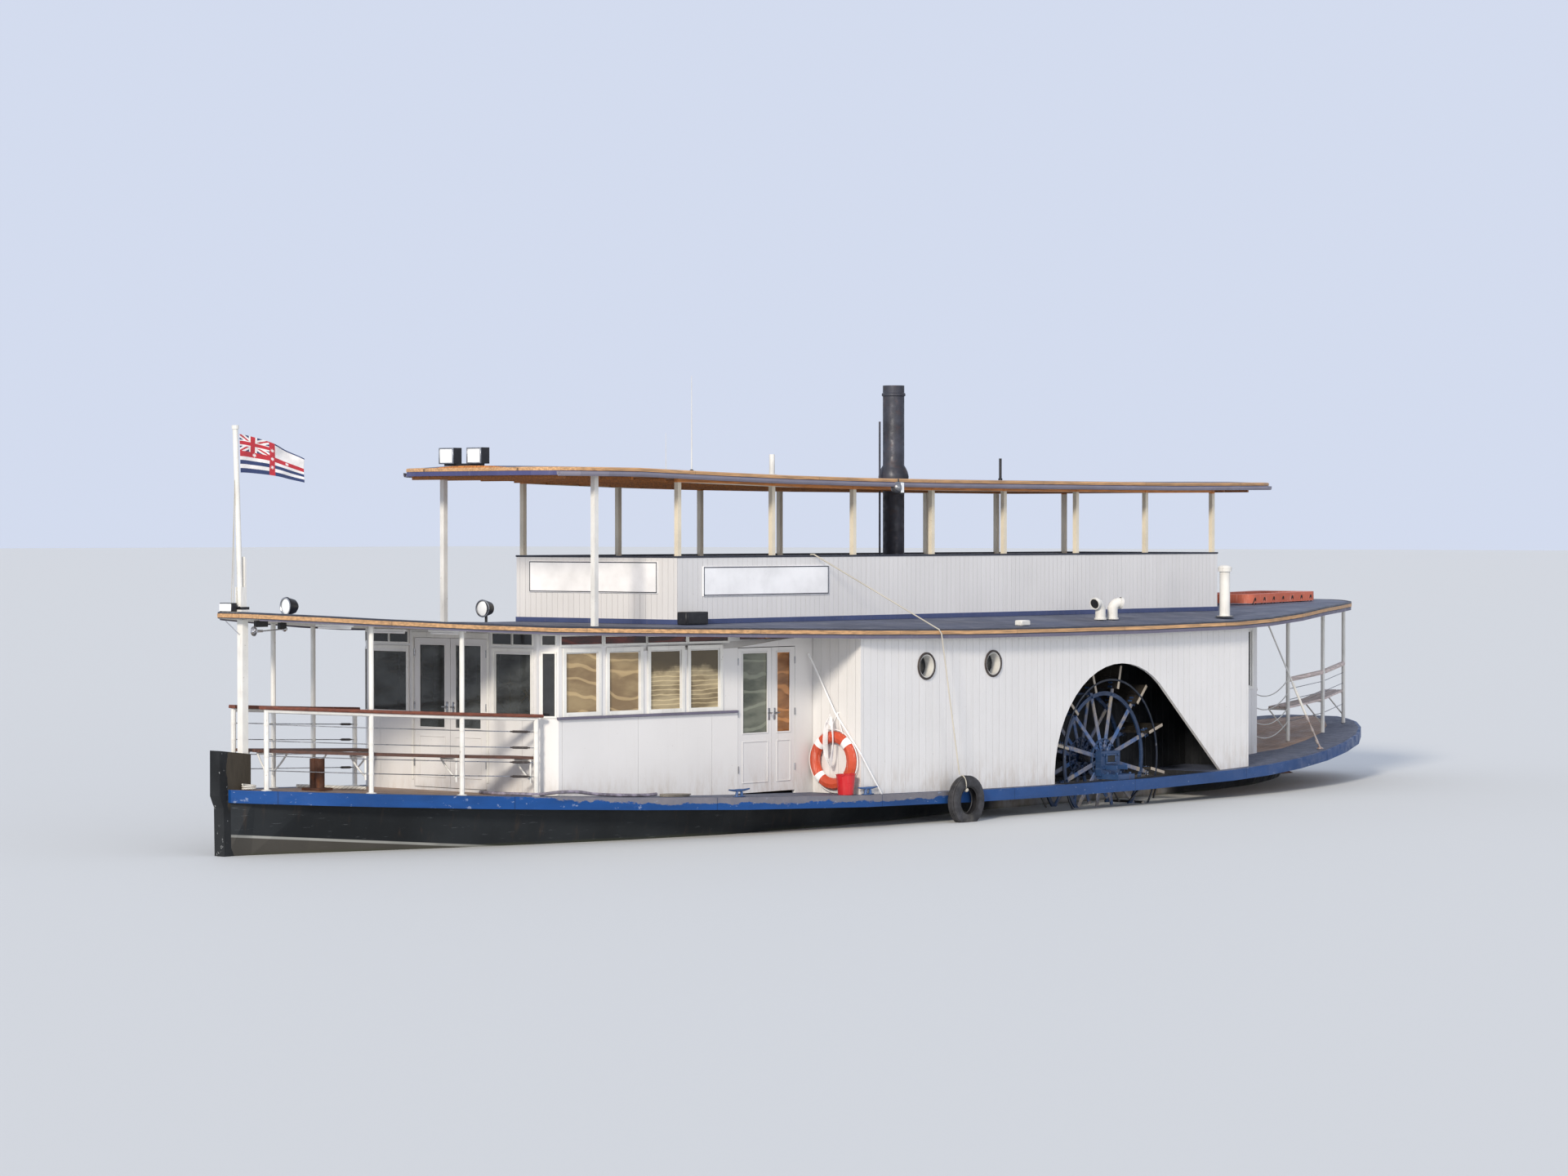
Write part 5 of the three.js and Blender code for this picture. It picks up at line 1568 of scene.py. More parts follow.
def model_lamps():
    black, lens, grey = bmesh.new(), bmesh.new(), bmesh.new()
    low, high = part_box("floodlights")
    x = -7.07
    for y in (0.06, 0.54):
        block(lens, (x - 0.006, y - 0.112, low.z + 0.04), (x, y + 0.112, low.z + 0.212), 0.002)
        for y0, y1, z0, z1 in (
            (-0.125, -0.108, 0.026, 0.224), (0.108, 0.125, 0.026, 0.224),
            (-0.108, 0.108, 0.026, 0.04), (-0.108, 0.108, 0.21, 0.224),
        ):
            block(grey, (x - 0.014, y + y0, low.z + z0), (x - 0.0002, y + y1, low.z + z1), 0.002)
        for k in range(6):
            z = low.z + 0.05 + 0.03 * k
            block(black, (x + 0.14, y - 0.1, z), (x + 0.165, y + 0.1, z + 0.008), 0.001)
        turns = [math.tau * k / 16 for k in range(9, 16)]
        loop = [(x + 0.02, y + 0.07 * math.cos(a), low.z - 0.01 + 0.045 * math.sin(a)) for a in turns]
        tube(black, loop, 0.006, 6)
    aft_lamp = Vector((-5.5, 1.4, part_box("search_lamp")[0].z + 0.175))
    for centre, heading in ((Vector((-9.03, 1.3, 2.84)), -0.15), (aft_lamp, 0.1)):
        aim = Vector((-math.cos(heading), -math.sin(heading), 0))
        if centre is not aft_lamp:
            foot = drop("lower_roof", centre.x, centre.y)
            turned(black, LAMP_BOWL, centre, aim, 28)
            rod(black, Vector((centre.x, centre.y, foot)), centre - UP * 0.1, 0.012, 8)
            face = centre + aim * 0.03
        else:
            face = centre + aim * 0.066
        turned(lens, LAMP_LENS, face, aim, 28)
        turned(grey, LAMP_RIM, face, aim, 28)
    foot = drop("lower_roof", -11.06, 0.1)
    top = foot + TIP_LAMP_HEIGHT
    block(black, (-11.12, -0.005, foot + 0.002), (-11.035, 0.21, top), 0.006)
    block(lens, (-11.127, 0.004, foot + 0.012), (-11.121, 0.201, top - 0.01), 0.002)
    x, y, z = CANOPY_LAMP
    bowl = [(0.0, 0.0), (0.04, 0.004), (0.068, 0.03), (0.08, 0.075), (0.076, 0.075), (0.0, 0.07)]
    turned(grey, bowl, (x - 0.13, y, z), (1, 0, 0), 20)
    block(grey, (x - 0.054, y - 0.06, z - 0.075), (x + 0.02, y + 0.05, z + 0.075), 0.008)
    block(lens, (x - 0.048, y - 0.066, z - 0.066), (x + 0.014, y - 0.0605, z + 0.066), 0.001)
    block(lens, (x + 0.0205, y - 0.05, z - 0.066), (x + 0.026, y + 0.04, z + 0.066), 0.001)
    block(black, (x - 0.06, y - 0.064, z - 0.09), (x + 0.026, y + 0.054, z - 0.0755), 0.003)
    rod(black, (x - 0.02, y, z + 0.07), (x - 0.02, y + 0.005, z + 0.115), 0.01, 8)
    keep(black, "lamp_housings", "black", smooth=40)
    keep(lens, "lamp_lenses", "lens", smooth=40)
    keep(grey, "lamp_rims", "steel", smooth=40)


class AddLamps(bpy.types.Operator):
    """Lenses, hoods and brackets of the lamps on roof and canopy"""

    bl_idname = "steamer.add_lamps"
    bl_label = "Lamps"

    def execute(self, context):
        model_lamps()
        return {"FINISHED"}


FUNNEL_X = 1.05
STEAM_PIPE_X = 0.75
FUNNEL_RADIUS = 0.148


def model_funnel():
    low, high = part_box("funnel")
    seat = drop("canopy", FUNNEL_X, 0.2) + 0.002
    bell = [(0.205, seat), (0.209, 4.5), (0.196, 4.56), (0.172, 4.615), (FUNNEL_RADIUS, 4.655)]
    rim = [
        (FUNNEL_RADIUS, 5.6), (0.163, 5.61), (0.163, 5.64), (FUNNEL_RADIUS, 5.65), (FUNNEL_RADIUS, high.z)
    ]
    inside = [(0.134, high.z), (0.134, 5.0), (0.0, 5.0)]
    bm = bmesh.new()
    outline = [(0.0, low.z), (FUNNEL_RADIUS, low.z), (FUNNEL_RADIUS, seat), *bell, *rim, *inside]
    turned(bm, outline, (FUNNEL_X, 0, 0), UP, 40)
    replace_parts(keep(bm, "funnel_stack", "soot", smooth=35), "funnel")
    low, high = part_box("steam_pipe")
    bm = bmesh.new()
    pipe, bore, deep = 0.014, 0.0098, high.z - 0.1
    outline = [(0.0, low.z), (pipe, low.z), (pipe, high.z), (bore, high.z), (bore, deep), (0.0, deep)]
    turned(bm, outline, (STEAM_PIPE_X, 0, 0), UP, 12)
    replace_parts(keep(bm, "steam_pipe_thin", "soot", smooth=35), "steam_pipe")


class AddFunnel(bpy.types.Operator):
    """Funnel with its rain bell close over the canopy, and the thin steam pipe beside it"""

    bl_idname = "steamer.add_funnel"
    bl_label = "Funnel"

    def execute(self, context):
        model_funnel()
        return {"FINISHED"}


# Where along the boat the top and the foot of each strut under the guards are
GUARD_STRUTS = ((0.72, 0.95), (2.35, 2.6), (3.05, 2.85), (3.4, 3.4))


def model_guard_struts():
    bm = bmesh.new()
    for side in (-1, 1):
        for x0, x1 in GUARD_STRUTS:
            top = drop("main_deck", x0, 2.76 * side) - 0.1
            rod(bm, (x0, 2.76 * side, top), (x1, 2.70 * side, top - 0.2), 0.014, 8)
    keep(bm, "guard_struts", "black", smooth=50)


class AddGuardStruts(bpy.types.Operator):
    """Iron struts under the guard outside each wheel"""

    bl_idname = "steamer.add_guard_struts"
    bl_label = "Guard struts"

    def execute(self, context):
        model_guard_struts()
        return {"FINISHED"}


FLOAT_LASHINGS = 7
VENT_LIP = (
    (0.0735, -0.02), (0.082, -0.018), (0.082, 0.02), (0.068, 0.02), (0.068, 0.012), (0.0735, 0.012),
    (0.0735, -0.02),
)
VENT_CAP = (
    (0.0, 0.03), (0.05, 0.025), (0.085, 0.01), (0.1, -0.008), (0.0985, -0.03), (0.0982, CLEAR), (
        0.0, CLEAR
    ),
)


def model_roof_gear():
    white, dark = bmesh.new(), bmesh.new()
    z = drop("lower_roof", 0.56, -2.6)
    block(white, (0.46, -2.66, z + 0.001), (0.66, -2.54, z + 0.075), 0.014)
    top = drop("canopy", -2.68, -1.0)
    rod(white, (-2.68, -1.0, top - 0.02), (-2.68, -1.0, 4.745), 0.037, 16)
    flange = [(0.0, 0.0), (0.06, 0.0), (0.06, 0.012), (0.037, 0.02), (0.0, 0.02)]
    turned(white, flange, (-2.68, -1.0, top), UP, 16)
    for x, y, tip, radius, metal in (
        (-3.68, -0.5, 5.74, 0.009, white), (-3.62, 0.0, 5.02, 0.006, white), (3.455, 0.0, 4.78, 0.02, dark),
    ):
        top = drop("canopy", x, y)
        rod(metal, (x, y, top), (x, y, tip), radius, 8, radius * (0.4 if metal is white else 1.0))
        socket = [(0.0, 0.0), (0.03, 0.0), (0.03, 0.03), (0.012, 0.045), (0.0, 0.045)]
        turned(dark, socket, (x, y, top), UP, 12)
    z = drop("lower_roof", -4.7, -1.45)
    block(dark, (-4.97, -1.56, z + 0.001), (-4.55, -1.405, z + 0.16), 0.01)
    block(dark, (-4.94, -1.565, z + 0.02), (-4.58, -1.56, z + 0.14), 0.002)
    for node, heading in (("cowl_vent_fore", 0.0), ("cowl_vent_aft", math.pi - 0.5)):
        low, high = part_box(node)
        x = 2.85 if heading == 0.0 else 3.13
        tilt = math.radians(105)
        local = Vector((0.095 * (math.cos(tilt) - 1), 0, 0.13 + 0.095 * math.sin(tilt)))
        ahead = Vector((-math.sin(tilt), 0, math.cos(tilt)))
        spin = Matrix.Rotation(heading, 3, "Z")
        mouth = Vector((x, -2.2, low.z)) + spin @ local
        aim = spin @ ahead
        turned(white, VENT_LIP, mouth, aim, 24)
        rod(dark, mouth + aim * 0.010, mouth + aim * 0.012, 0.0735, 24)
    low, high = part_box("vent_pipe")
    middle = (low + high) / 2
    turned(white, VENT_CAP, Vector((middle.x, middle.y, high.z)), UP, 24)
    collar = [(0.1102, 0.0), (0.135, 0.0), (0.13, 0.012), (0.1102, 0.016), (0.1102, 0.0)]
    turned(dark, collar, Vector((middle.x, middle.y, low.z)), UP, 28)
    low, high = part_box("life_float")
    for i in range(FLOAT_LASHINGS):
        x = low.x + (high.x - low.x) * (i + 0.6) / (FLOAT_LASHINGS + 0.4)
        z = drop("lower_roof", x, low.y + 0.08)
        for shift in (-0.045, 0.045):
            rod(dark, (x, low.y - 0.004, z + 0.1), (x + shift, low.y + 0.02, z + 0.004), 0.011, 6)
    keep(white, "roof_fittings_white", "dull_white", smooth=40)
    keep(dark, "roof_fittings_dark", "black", smooth=40)


class AddRoofGear(bpy.types.Operator):
    """Small fittings on the lower roof and the canopy"""

    bl_idname = "steamer.add_roof_gear"
    bl_label = "Roof gear"

    def execute(self, context):
        model_roof_gear()
        return {"FINISHED"}


WHEEL_AXIS = Vector((2.62, 0, 0.645))
SPOKE_PLANES = (2.03, 2.415)
HUB_PLATE = (
    (0.0625, -0.02), (0.26, -0.02), (0.275, -0.012), (0.275, 0.012), (0.26, 0.02), (0.0625, 0.02),
    (0.0625, -0.02),
)
HUB_BOSS = ((0.0625, 0.02), (0.12, 0.02), (0.12, 0.05), (0.105, 0.06), (0.0625, 0.06), (0.0625, 0.02))
SPOKE_ANGLES = [math.radians(17.5 + 30 * i) for i in range(12)]


def wheel_ring(bm, radius, deep, y0, y1, finish=0):
    """A flat hoop round the wheel's axis"""
    stations = []
    for i in range(60):
        a = math.tau * i / 60
        out = Vector((math.cos(a), 0, math.sin(a)))
        stations.append((WHEEL_AXIS + out * radius, out, Vector((0, 1, 0))))
    outline = [(-deep / 2, y0), (deep / 2, y0), (deep / 2, y1), (-deep / 2, y1)]
    carry(bm, outline, stations, True, finish)


def model_wheels():
    for name, side in SIDES:
        rims, spokes, boards, ends, bolts, hoop = (bmesh.new() for i in range(6))
        for plane in SPOKE_PLANES:
            y = side * plane
            wheel_ring(rims, 0.89, 0.056, y - 0.012, y + 0.012)
            turned(rims, HUB_PLATE, WHEEL_AXIS + Vector((0, y, 0)), (0, 1, 0), 36)
            turned(rims, HUB_BOSS, WHEEL_AXIS + Vector((0, y - 0.04 * side, 0)), (0, -side, 0), 28)
        # Outer hoop, darkened by its finish as painted shade
        wheel_ring(hoop, 1.08, 0.026, side * 2.541 - 0.007, side * 2.541 + 0.007)
        for a in SPOKE_ANGLES:
            turn = Matrix.Translation(WHEEL_AXIS) @ Matrix.Rotation(-a, 4, "Y")
            for plane in SPOKE_PLANES:
                y = side * plane
                block(spokes, (0.11, y - 0.01, -0.028), (1.075, y + 0.01, 0.028), 0.003, turn)
                for r, lift in ((0.15, 0.0), (0.205, 0.014), (0.245, -0.014), (0.885, 0.0)):
                    for face in (1, -1):
                        d = 0.02 if r < 0.3 else 0.013
                        at = turn @ Vector((r, y + face * d, lift))
                        rod(bolts, at, at + Vector((0, face * 0.015, 0)), 0.014, 6)
                for r in (0.99, 1.045):
                    block(bolts, (r - 0.014, y - 0.034, 0.056), (r + 0.014, y + 0.034, 0.063), 0.002, turn)
                    block(
                        bolts, (r - 0.014, y - 0.034, -0.034), (r + 0.014, y + 0.034, -0.028), 0.002, turn
                    )
                    for shift in (-0.024, 0.024):
                        foot, head = Vector((r, y + shift, -0.05)), Vector((r, y + shift, 0.075))
                        rod(bolts, turn @ foot, turn @ head, 0.005, 6)
            inner, outer = sorted((side * 1.9, side * 2.536))
            # Float boards take the wet finish with painted shade; their ends are tan
            block(boards, (0.965, inner, 0.02), (1.12, outer, 0.056), 0.003, turn)
            block(boards, (1.124, inner, 0.02), (1.285, outer, 0.056), 0.003, turn)
            near, far = sorted((side * 2.536, side * 2.545))
            block(ends, (0.963, near, 0.018), (1.287, far, 0.058), 0.002, turn)
        keep(rims, f"wheel_rims_{name}", "rim_blue", body="paddle_wheels", smooth=35)
        stand_in = keep(spokes, f"wheel_spokes_{name}", "spokes", body="paddle_wheels")
        keep(boards, f"wheel_boards_{name}", "wet_board", body="paddle_wheels")
        keep(ends, f"wheel_board_ends_{name}", "wheel_tan", body="paddle_wheels")
        keep(hoop, f"wheel_hoop_{name}", "hoop", body="paddle_wheels", smooth=35)
        keep(bolts, f"wheel_bolts_{name}", "wheel_blue", body="paddle_wheels")
        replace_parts(stand_in, f"paddle_wheel_{name}")


class AddWheels(bpy.types.Operator):
    """Paddle wheels: round rims, flat spokes, bolted hubs and boards with clamps"""

    bl_idname = "steamer.add_wheels"
    bl_label = "Paddle wheels"

    def execute(self, context):
        model_wheels()
        return {"FINISHED"}


def model_bearings():
    for name, side in SIDES:
        low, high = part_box(f"wheel_bearing_{name}")
        iron, dark = bmesh.new(), bmesh.new()
        face = 2.54 * side

        def out(a, b):
            return sorted((face + a * side, face + b * side))

        y0, y1 = out(CLEAR, 0.01)
        # Dark plate at the back of the slot: painted shade of the recess
        block(dark, (2.53, y0, 0.6), (2.71, y1, 0.69), 0.002)
        y0, y1 = out(CLEAR, 0.022)
        for x0, x1, z0, z1 in (
            (2.505, 2.735, 0.69, 0.715), (2.505, 2.735, 0.575, 0.6),
            (2.505, 2.53, 0.6, 0.69), (2.71, 2.735, 0.6, 0.69),
        ):
            block(iron, (x0, y0, z0), (x1, y1, z1), 0.004)
        for x in (2.455, 2.785):
            for z in (0.52, 0.7):
                at = Vector((x, face + CLEAR * side, z))
                rod(iron, at, at + Vector((0, 0.02 * side, 0)), 0.018, 6)
        for x in (2.47, 2.77):
            for y in (2.6, 2.76):
                z = drop(f"wheel_bearing_{name}", x, y * side)
                rod(iron, (x, y * side, z + CLEAR), (x, y * side, z + 0.025), 0.018, 6)
        y0, y1 = out(0.001, 0.2)
        for x in (2.50, 2.74):
            block(iron, (x - 0.008, y0, 0.5), (x + 0.008, y1, 0.56), 0.002)
        cup = [(0.0, 0.0), (0.03, 0.0), (0.03, 0.03), (0.022, 0.045), (0.0, 0.045)]
        turned(iron, cup, Vector((WHEEL_AXIS.x, 2.49 * side, high.z + CLEAR)), UP, 14)
        keep(iron, f"bearing_ironwork_{name}", "wheel_blue", smooth=40)
        keep(dark, f"bearing_slot_{name}", "chamber")


class AddBearings(bpy.types.Operator):
    """Slot, bolts and grease cap of the outboard bearings"""

    bl_idname = "steamer.add_bearings"
    bl_label = "Wheel bearings"

    def execute(self, context):
        model_bearings()
        return {"FINISHED"}


FLAG = (0.80, 0.445)
FLAG_FOOT = 4.435
FLAG_STARS = ((0.2, 0.2225), (0.392, 0.2225), (0.6, 0.2225), (0.392, 0.11), (0.392, 0.335))
MAST_PIVOT = Vector((-10.985, 0, 3.035))
MAST_LEAN = 2.1


def flag_colour(u, v):
    """The bunting at a place: 0 white, 1 red, 2 blue; u runs from the hoist, v from the foot"""
    x, y = u * FLAG[0], v * FLAG[1]
    for sx, sy in FLAG_STARS:
        angle = math.atan2(y - sy, x - sx)
        if math.hypot(x - sx, y - sy) < 0.016 + 0.008 * math.cos(8 * angle):
            return 0
    if abs(u - 0.49) < 0.042 or abs(v - 0.5) < 0.068:
        return 1
    if u > 0.49 and v > 0.5:
        return 2 if v > 0.955 else 0
    if v < 0.5:
        return 2 if v < 0.115 or 0.225 < v < 0.335 else 0
    cx, cy = u / 0.448 - 0.5, (v - 0.568) / 0.432 - 0.5
    if abs(cx) * 0.36 < 0.028 or abs(cy) * 0.19 < 0.02:
        return 1
    if abs(cx) * 0.36 < 0.05 or abs(cy) * 0.19 < 0.034:
        return 0
    near = min(abs(cx - cy), abs(cx + cy))
    return 1 if near < 0.06 else 0 if near < 0.19 else 2


def model_flag():
    width, height = FLAG
    steps_u, steps_v = 150, 84
    bm = bmesh.new()
    shape = Matrix.Translation((0.5, 0.5, 0)) @ Matrix.Diagonal((0.5, 0.5, 1, 1))
    bmesh.ops.create_grid(bm, x_segments=steps_u, y_segments=steps_v, size=1, matrix=shape)
    for face in bm.faces:
        middle = face.calc_center_median()
        face.material_index = flag_colour(middle.x, middle.y)
        face.smooth = True
    lean = math.radians(MAST_LEAN)
    heading = math.radians(-20)
    pivot = MAST_PIVOT
    upright = Matrix.Translation(pivot) @ Matrix.Rotation(-lean, 4, "Y") @ Matrix.Translation(-pivot)
    for vert in bm.verts:
        u, v = vert.co.x, vert.co.y
        wave = 0.022 * math.sin(u * math.tau * 1.35 + v * 1.1) + 0.009 * math.sin(u * 17 - v * 5)
        along = 0.05 + width * (u - 0.02 * math.sin(u * math.tau) ** 2)
        across = wave * min(1.0, u * 4)
        z = FLAG_FOOT - 0.14 * u**1.6 + (height - 0.165 * u**1.3) * v
        place = Vector((
            pivot.x + along * math.cos(heading) - across * math.sin(heading),
            along * math.sin(heading) + across * math.cos(heading),
            z,
        ))
        vert.co = upright @ place
    bunting = ["flag_white", "flag_red", "flag_blue"]
    flag = keep(bm, "flag_cloth", bunting, body="mast", outward=False)
    thick = flag.modifiers.new("thickness", "SOLIDIFY")
    thick.thickness = 0.0012
    thick.offset = 0.0
    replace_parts(flag, "flag")


class AddFlag(bpy.types.Operator):
    """Rippling flag, which rides with the mast"""

    bl_idname = "steamer.add_flag"
    bl_label = "Flag"

    def execute(self, context):
        model_flag()
        return {"FINISHED"}


# Tube lamps under the roof: x, y and length across the boat
ROOF_TUBES = ((-9.96, -0.5, 0.6), (-8.3, 0.3, 0.6), (-8.3, -0.7, 0.6))


def mast_point(height, ahead=0.0):
    """A point that high over the water on the mast's line, or ahead of it"""
    lean = math.tan(math.radians(MAST_LEAN))
    return Vector((MAST_PIVOT.x - ahead - (height - MAST_PIVOT.z) * lean, 0, height))


def model_mast_gear():
    dark, steel, lines, white = (bmesh.new() for i in range(4))
    low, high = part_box("mast_housing")
    block(dark, (low.x + 0.004, -0.078, low.z + 0.031), (high.x - 0.004, 0.078, low.z + 0.062), 0.003)
    lamp_top = drop("lower_roof", -11.06, 0.1) + TIP_LAMP_HEIGHT
    for y, reach in ((0.04, 4.35), (0.075, 4.3)):
        head = mast_point(reach, 0.034)
        rod(lines, (-11.055, y, lamp_top), head, 0.004, 6)
    halyards = keep(lines, "halyards", "rope_thin", body=None, smooth=60)
    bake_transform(halyards)
    rod(steel, (-11.12, 0.1, 2.715), (-11.0, 0.0, 2.56), 0.006, 6)
    horn = Vector((-10.82, -0.05, 2.593))
    flare = [
        (0.0, 0.14), (0.014, 0.14), (0.016, 0.06), (0.03, 0.025), (0.056, 0.0), (0.06, 0.004), (
            0.052, 0.012
        ),
        (0.024, 0.04), (0.0, 0.045),
    ]
    turned(steel, flare, horn, (1, 0, 0), 24)
    second = Vector((-10.01, 0.3, 2.6))
    rod(steel, horn + Vector((0.13, 0, 0)), second, 0.008, 8)
    bead = [(0.0, -0.03), (0.022, -0.025), (0.034, 0.0), (0.022, 0.03), (0.0, 0.034)]
    turned(steel, bead, second, (-1, 0, 0), 18)
    for x, y, half in ((-10.66, 0.0, 0.09), (-10.05, 0.3, 0.05)):
        under = drop_under("lower_roof", x, y)
        block(dark, (x - half, y - 0.03, under - 0.075), (x + half, y + 0.03, under - 0.001), 0.006)
    for x, y, length in ROOF_TUBES:
        under = drop_under("lower_roof", x, y)
        half = length / 2
        block(white, (x - 0.03, y - half, under - 0.03), (x + 0.03, y + half, under - 0.001), 0.006)
        reach = half - 0.03
        rod(white, (x, y - reach, under - 0.045), (x, y + reach, under - 0.045), 0.014, 12)
    keep(dark, "roof_tip_brackets", "black", smooth=40)
    keep(steel, "horn", "chrome", smooth=50)
    keep(white, "roof_lights", "board_white", smooth=50)


class AddMastGear(bpy.types.Operator):
    """Base of the mast housing, halyards, brace, horn and its fittings at the tip of the roof"""

    bl_idname = "steamer.add_mast_gear"
    bl_label = "Gear at the roof tip"

    def execute(self, context):
        model_mast_gear()
        return {"FINISHED"}


def model_stays():
    wires, fittings = bmesh.new(), bmesh.new()
    for side in (-1, 1):
        top = Vector((7.3, 1.9 * side, drop_under("lower_roof", 7.3, 1.9 * side) - 0.002))
        foot = Vector((8.19, 2.28 * side, drop("main_deck", 8.19, 2.28 * side) + 0.004))
        rod(wires, top, top.lerp(foot, 0.74), 0.012, 8)
        rod(wires, top.lerp(foot, 0.5), top.lerp(foot, 0.74), 0.02, 8)
        rod(fittings, top.lerp(foot, 0.74), foot + UP * 0.02, 0.014, 8)
        for reach in (0.75, 0.84, 0.93):
            rod(fittings, top.lerp(foot, reach), top.lerp(foot, reach + 0.03), 0.022, 8)
        plate = [(0.0, 0.0), (0.05, 0.0), (0.05, 0.012), (0.02, 0.03), (0.0, 0.03)]
        turned(fittings, plate, foot, UP, 14)
    keep(wires, "roof_stays", "dull_white", smooth=60)
    keep(fittings, "stay_turnbuckles", "flaking", smooth=50)


class AddStays(bpy.types.Operator):
    """Taut stays of the aft roof, with their turnbuckles and deck eyes"""

    bl_idname = "steamer.add_stays"
    bl_label = "Stays"

    def execute(self, context):
        model_stays()
        return {"FINISHED"}


TYRE = Vector((-1.15, -2.99, 0.275))
# Half of the tyre's section, outside and inside: distance from its axle and from its middle plane
TYRE_OUTSIDE = (
    (0.168, -0.046), (0.190, -0.058), (0.235, -0.066), (0.285, -0.066), (0.306, -0.060), (0.319, -0.050),
    (0.312, -0.046), (0.312, -0.040), (0.324, -0.037), (0.325, -0.018), (0.316, -0.016), (0.316, -0.008),
    (0.325, -0.006),
)
TYRE_INSIDE = ((0.296, 0.0), (0.290, -0.052), (0.240, -0.056), (0.200, -0.048), (0.172, -0.036))


def mirrored(outline):
    """The outline's other half, from its last row back to its first"""
    return [(r, -h) for r, h in reversed(outline)]


def model_tyre():
    bm = bmesh.new()
    section = [*TYRE_OUTSIDE, *mirrored(TYRE_OUTSIDE), *mirrored(TYRE_INSIDE), *TYRE_INSIDE[1:]]
    turned(bm, [*section, section[0]], TYRE, (0, 1, 0), 40)
    tyre = keep(bm, "tyre", "rubber", smooth=30)
    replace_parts(tyre, "tyre_fender")
    line = bmesh.new()
    radius = 0.009
    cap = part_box("upper_bulwark")[1].z + 0.024
    edge = Vector((-1.62, -2.956, 2.435))
    crown = TYRE + Vector((-0.13, 0.0, 0.312))
    points = [
        (-2.34, -1.35, cap - 0.03), (-2.34, -1.37, cap + radius), (-2.34, -1.42, cap + radius),
        (-1.64, -2.93, 2.492), edge, crown + Vector((-0.01, 0.0, 0.03)),
    ]
    tube(line, points, radius, 8)
    a = math.radians(104)
    out = Vector((math.cos(a), 0, math.sin(a)))
    middle = TYRE + out * 0.245
    hitch = []
    for k in range(16):
        t = math.tau * k / 16
        aside = Vector((0.03 * math.sin(t), 0.071 * math.sin(t), 0))
        hitch.append(middle + out * (0.093 * math.cos(t)) + aside)
    tube(line, hitch, radius * 0.8, 8, closed=True)
    knot = [(0.0, -0.03), (0.02, -0.024), (0.03, 0.0), (0.02, 0.024), (0.0, 0.03)]
    turned(line, knot, TYRE + out * 0.145 + Vector((0, -0.03, 0)), (1, 0, 0), 16)
    keep(line, "tyre_line", "rope_thin", smooth=60)


class AddTyre(bpy.types.Operator):
    """Old tyre with its tread and beads, hung from the bulwark by a taut line"""

    bl_idname = "steamer.add_tyre"
    bl_label = "Tyre fender"

    def execute(self, context):
        model_tyre()
        return {"FINISHED"}


CLEATS = ((-5.0, -2.46), (-2.9, -2.785), (-5.0, 2.46), (-3.6, 2.6))
HOSE_RADIUS = 0.02
# Deck hose: x, y and how far it arches off the deck
HOSE = (
    (-7.9, -0.86, 0.0),
    (-7.99, -1.05, 0.0),
    (-7.97, -1.25, 0.0),
    (-7.86, -1.41, 0.0),
    (-7.73, -1.54, 0.0),
    (-7.64, -1.63, 0.003),
    (-7.46, -1.73, 0.03),
    (-7.19, -1.80, 0.036),
    (-6.95, -1.86, 0.01),
    (-6.6, -1.98, 0.0),
    (-6.24, -2.03, 0.0),
    (-6.06, -2.05, 0.012),
)

ROPE_PILE_TURNS = 5


def model_ropes(sizes):
    rope = sizes.rope_radius
    lift = 0.004
    hose = on_deck(HOSE, HOSE_RADIUS + lift)
    add_cord("deck_hose", hose, HOSE_RADIUS, "hose", steps=60)
    middle = Vector((-5.78, -2.1))
    thin = rope * 0.75
    coil = []
    for k in range(ROPE_PILE_TURNS * 12 + 1):
        a = math.tau * k / 12
        turn = min(k, ROPE_PILE_TURNS * 12 - k) / 12
        x = middle.x + (0.26 - 2.1 * thin * turn) * math.cos(a)
        y = middle.y + (0.105 - 2.1 * thin * turn) * math.sin(a)
        layer = min(1.0, max(0.0, k / 12 - (ROPE_PILE_TURNS - 1) / 2))
        coil.append((x, y, drop("main_deck", x, y) + thin + lift + 2.2 * thin * layer))
    steps = ROPE_PILE_TURNS * 24
    add_cord("rope_pile", coil, thin, "rope_grey", steps=steps)
    coil = []
    for k in range(2 * 12 + 1):
        a = math.tau * k / 12 + 2.6
        x = -10.99 + 0.085 * math.cos(a)
        y = -0.15 + 0.06 * math.sin(a)
        coil.append((x, y, drop("main_deck", x, y) + rope + lift + rope * 2.3 * k / 12))
    add_cord("bow_rope", coil, rope, "rope", steps=60)
    route = ((-9.3, 0.86), (-9.15, 0.78), (-8.98, 0.6), (-8.83, 0.42), (-8.72, 0.26))
    add_cord("mooring_rope", on_deck(route, 0.022 + lift), 0.022, "rope")
    cleats = bmesh.new()
    for x, y in CLEATS:
        z = drop("main_deck", x, y) + 0.003
        block(cleats, (x - 0.09, y - 0.03, z), (x + 0.09, y + 0.03, z + 0.012), 0.004)
        for shift in (-0.05, 0.05):
            rod(cleats, (x + shift, y, z + 0.01), (x + shift * 0.8, y, z + 0.08), 0.02, 10, 0.015)
        horn = [(-0.19, 0.094), (-0.1, 0.084), (0.0, 0.082), (0.1, 0.084), (0.19, 0.094)]
        stations = []
        for along, up in horn:
            slim = 1 - abs(along) * 2.6
            stations.append((Vector((x + along, y, z + up)), Vector((0, slim, 0)), UP * slim))
        carry(cleats, round_outline(0.019, 10), stations)
    keep(cleats, "deck_cleats", "cleat_blue", smooth=50)


class AddRopes(bpy.types.Operator):
    """Hose, rope coils and cleats on the main deck"""

    bl_idname = "steamer.add_ropes"
    bl_label = "Ropes, hose and cleats"

    def execute(self, context):
        model_ropes(context.scene.steamer_sizes)
        return {"FINISHED"}


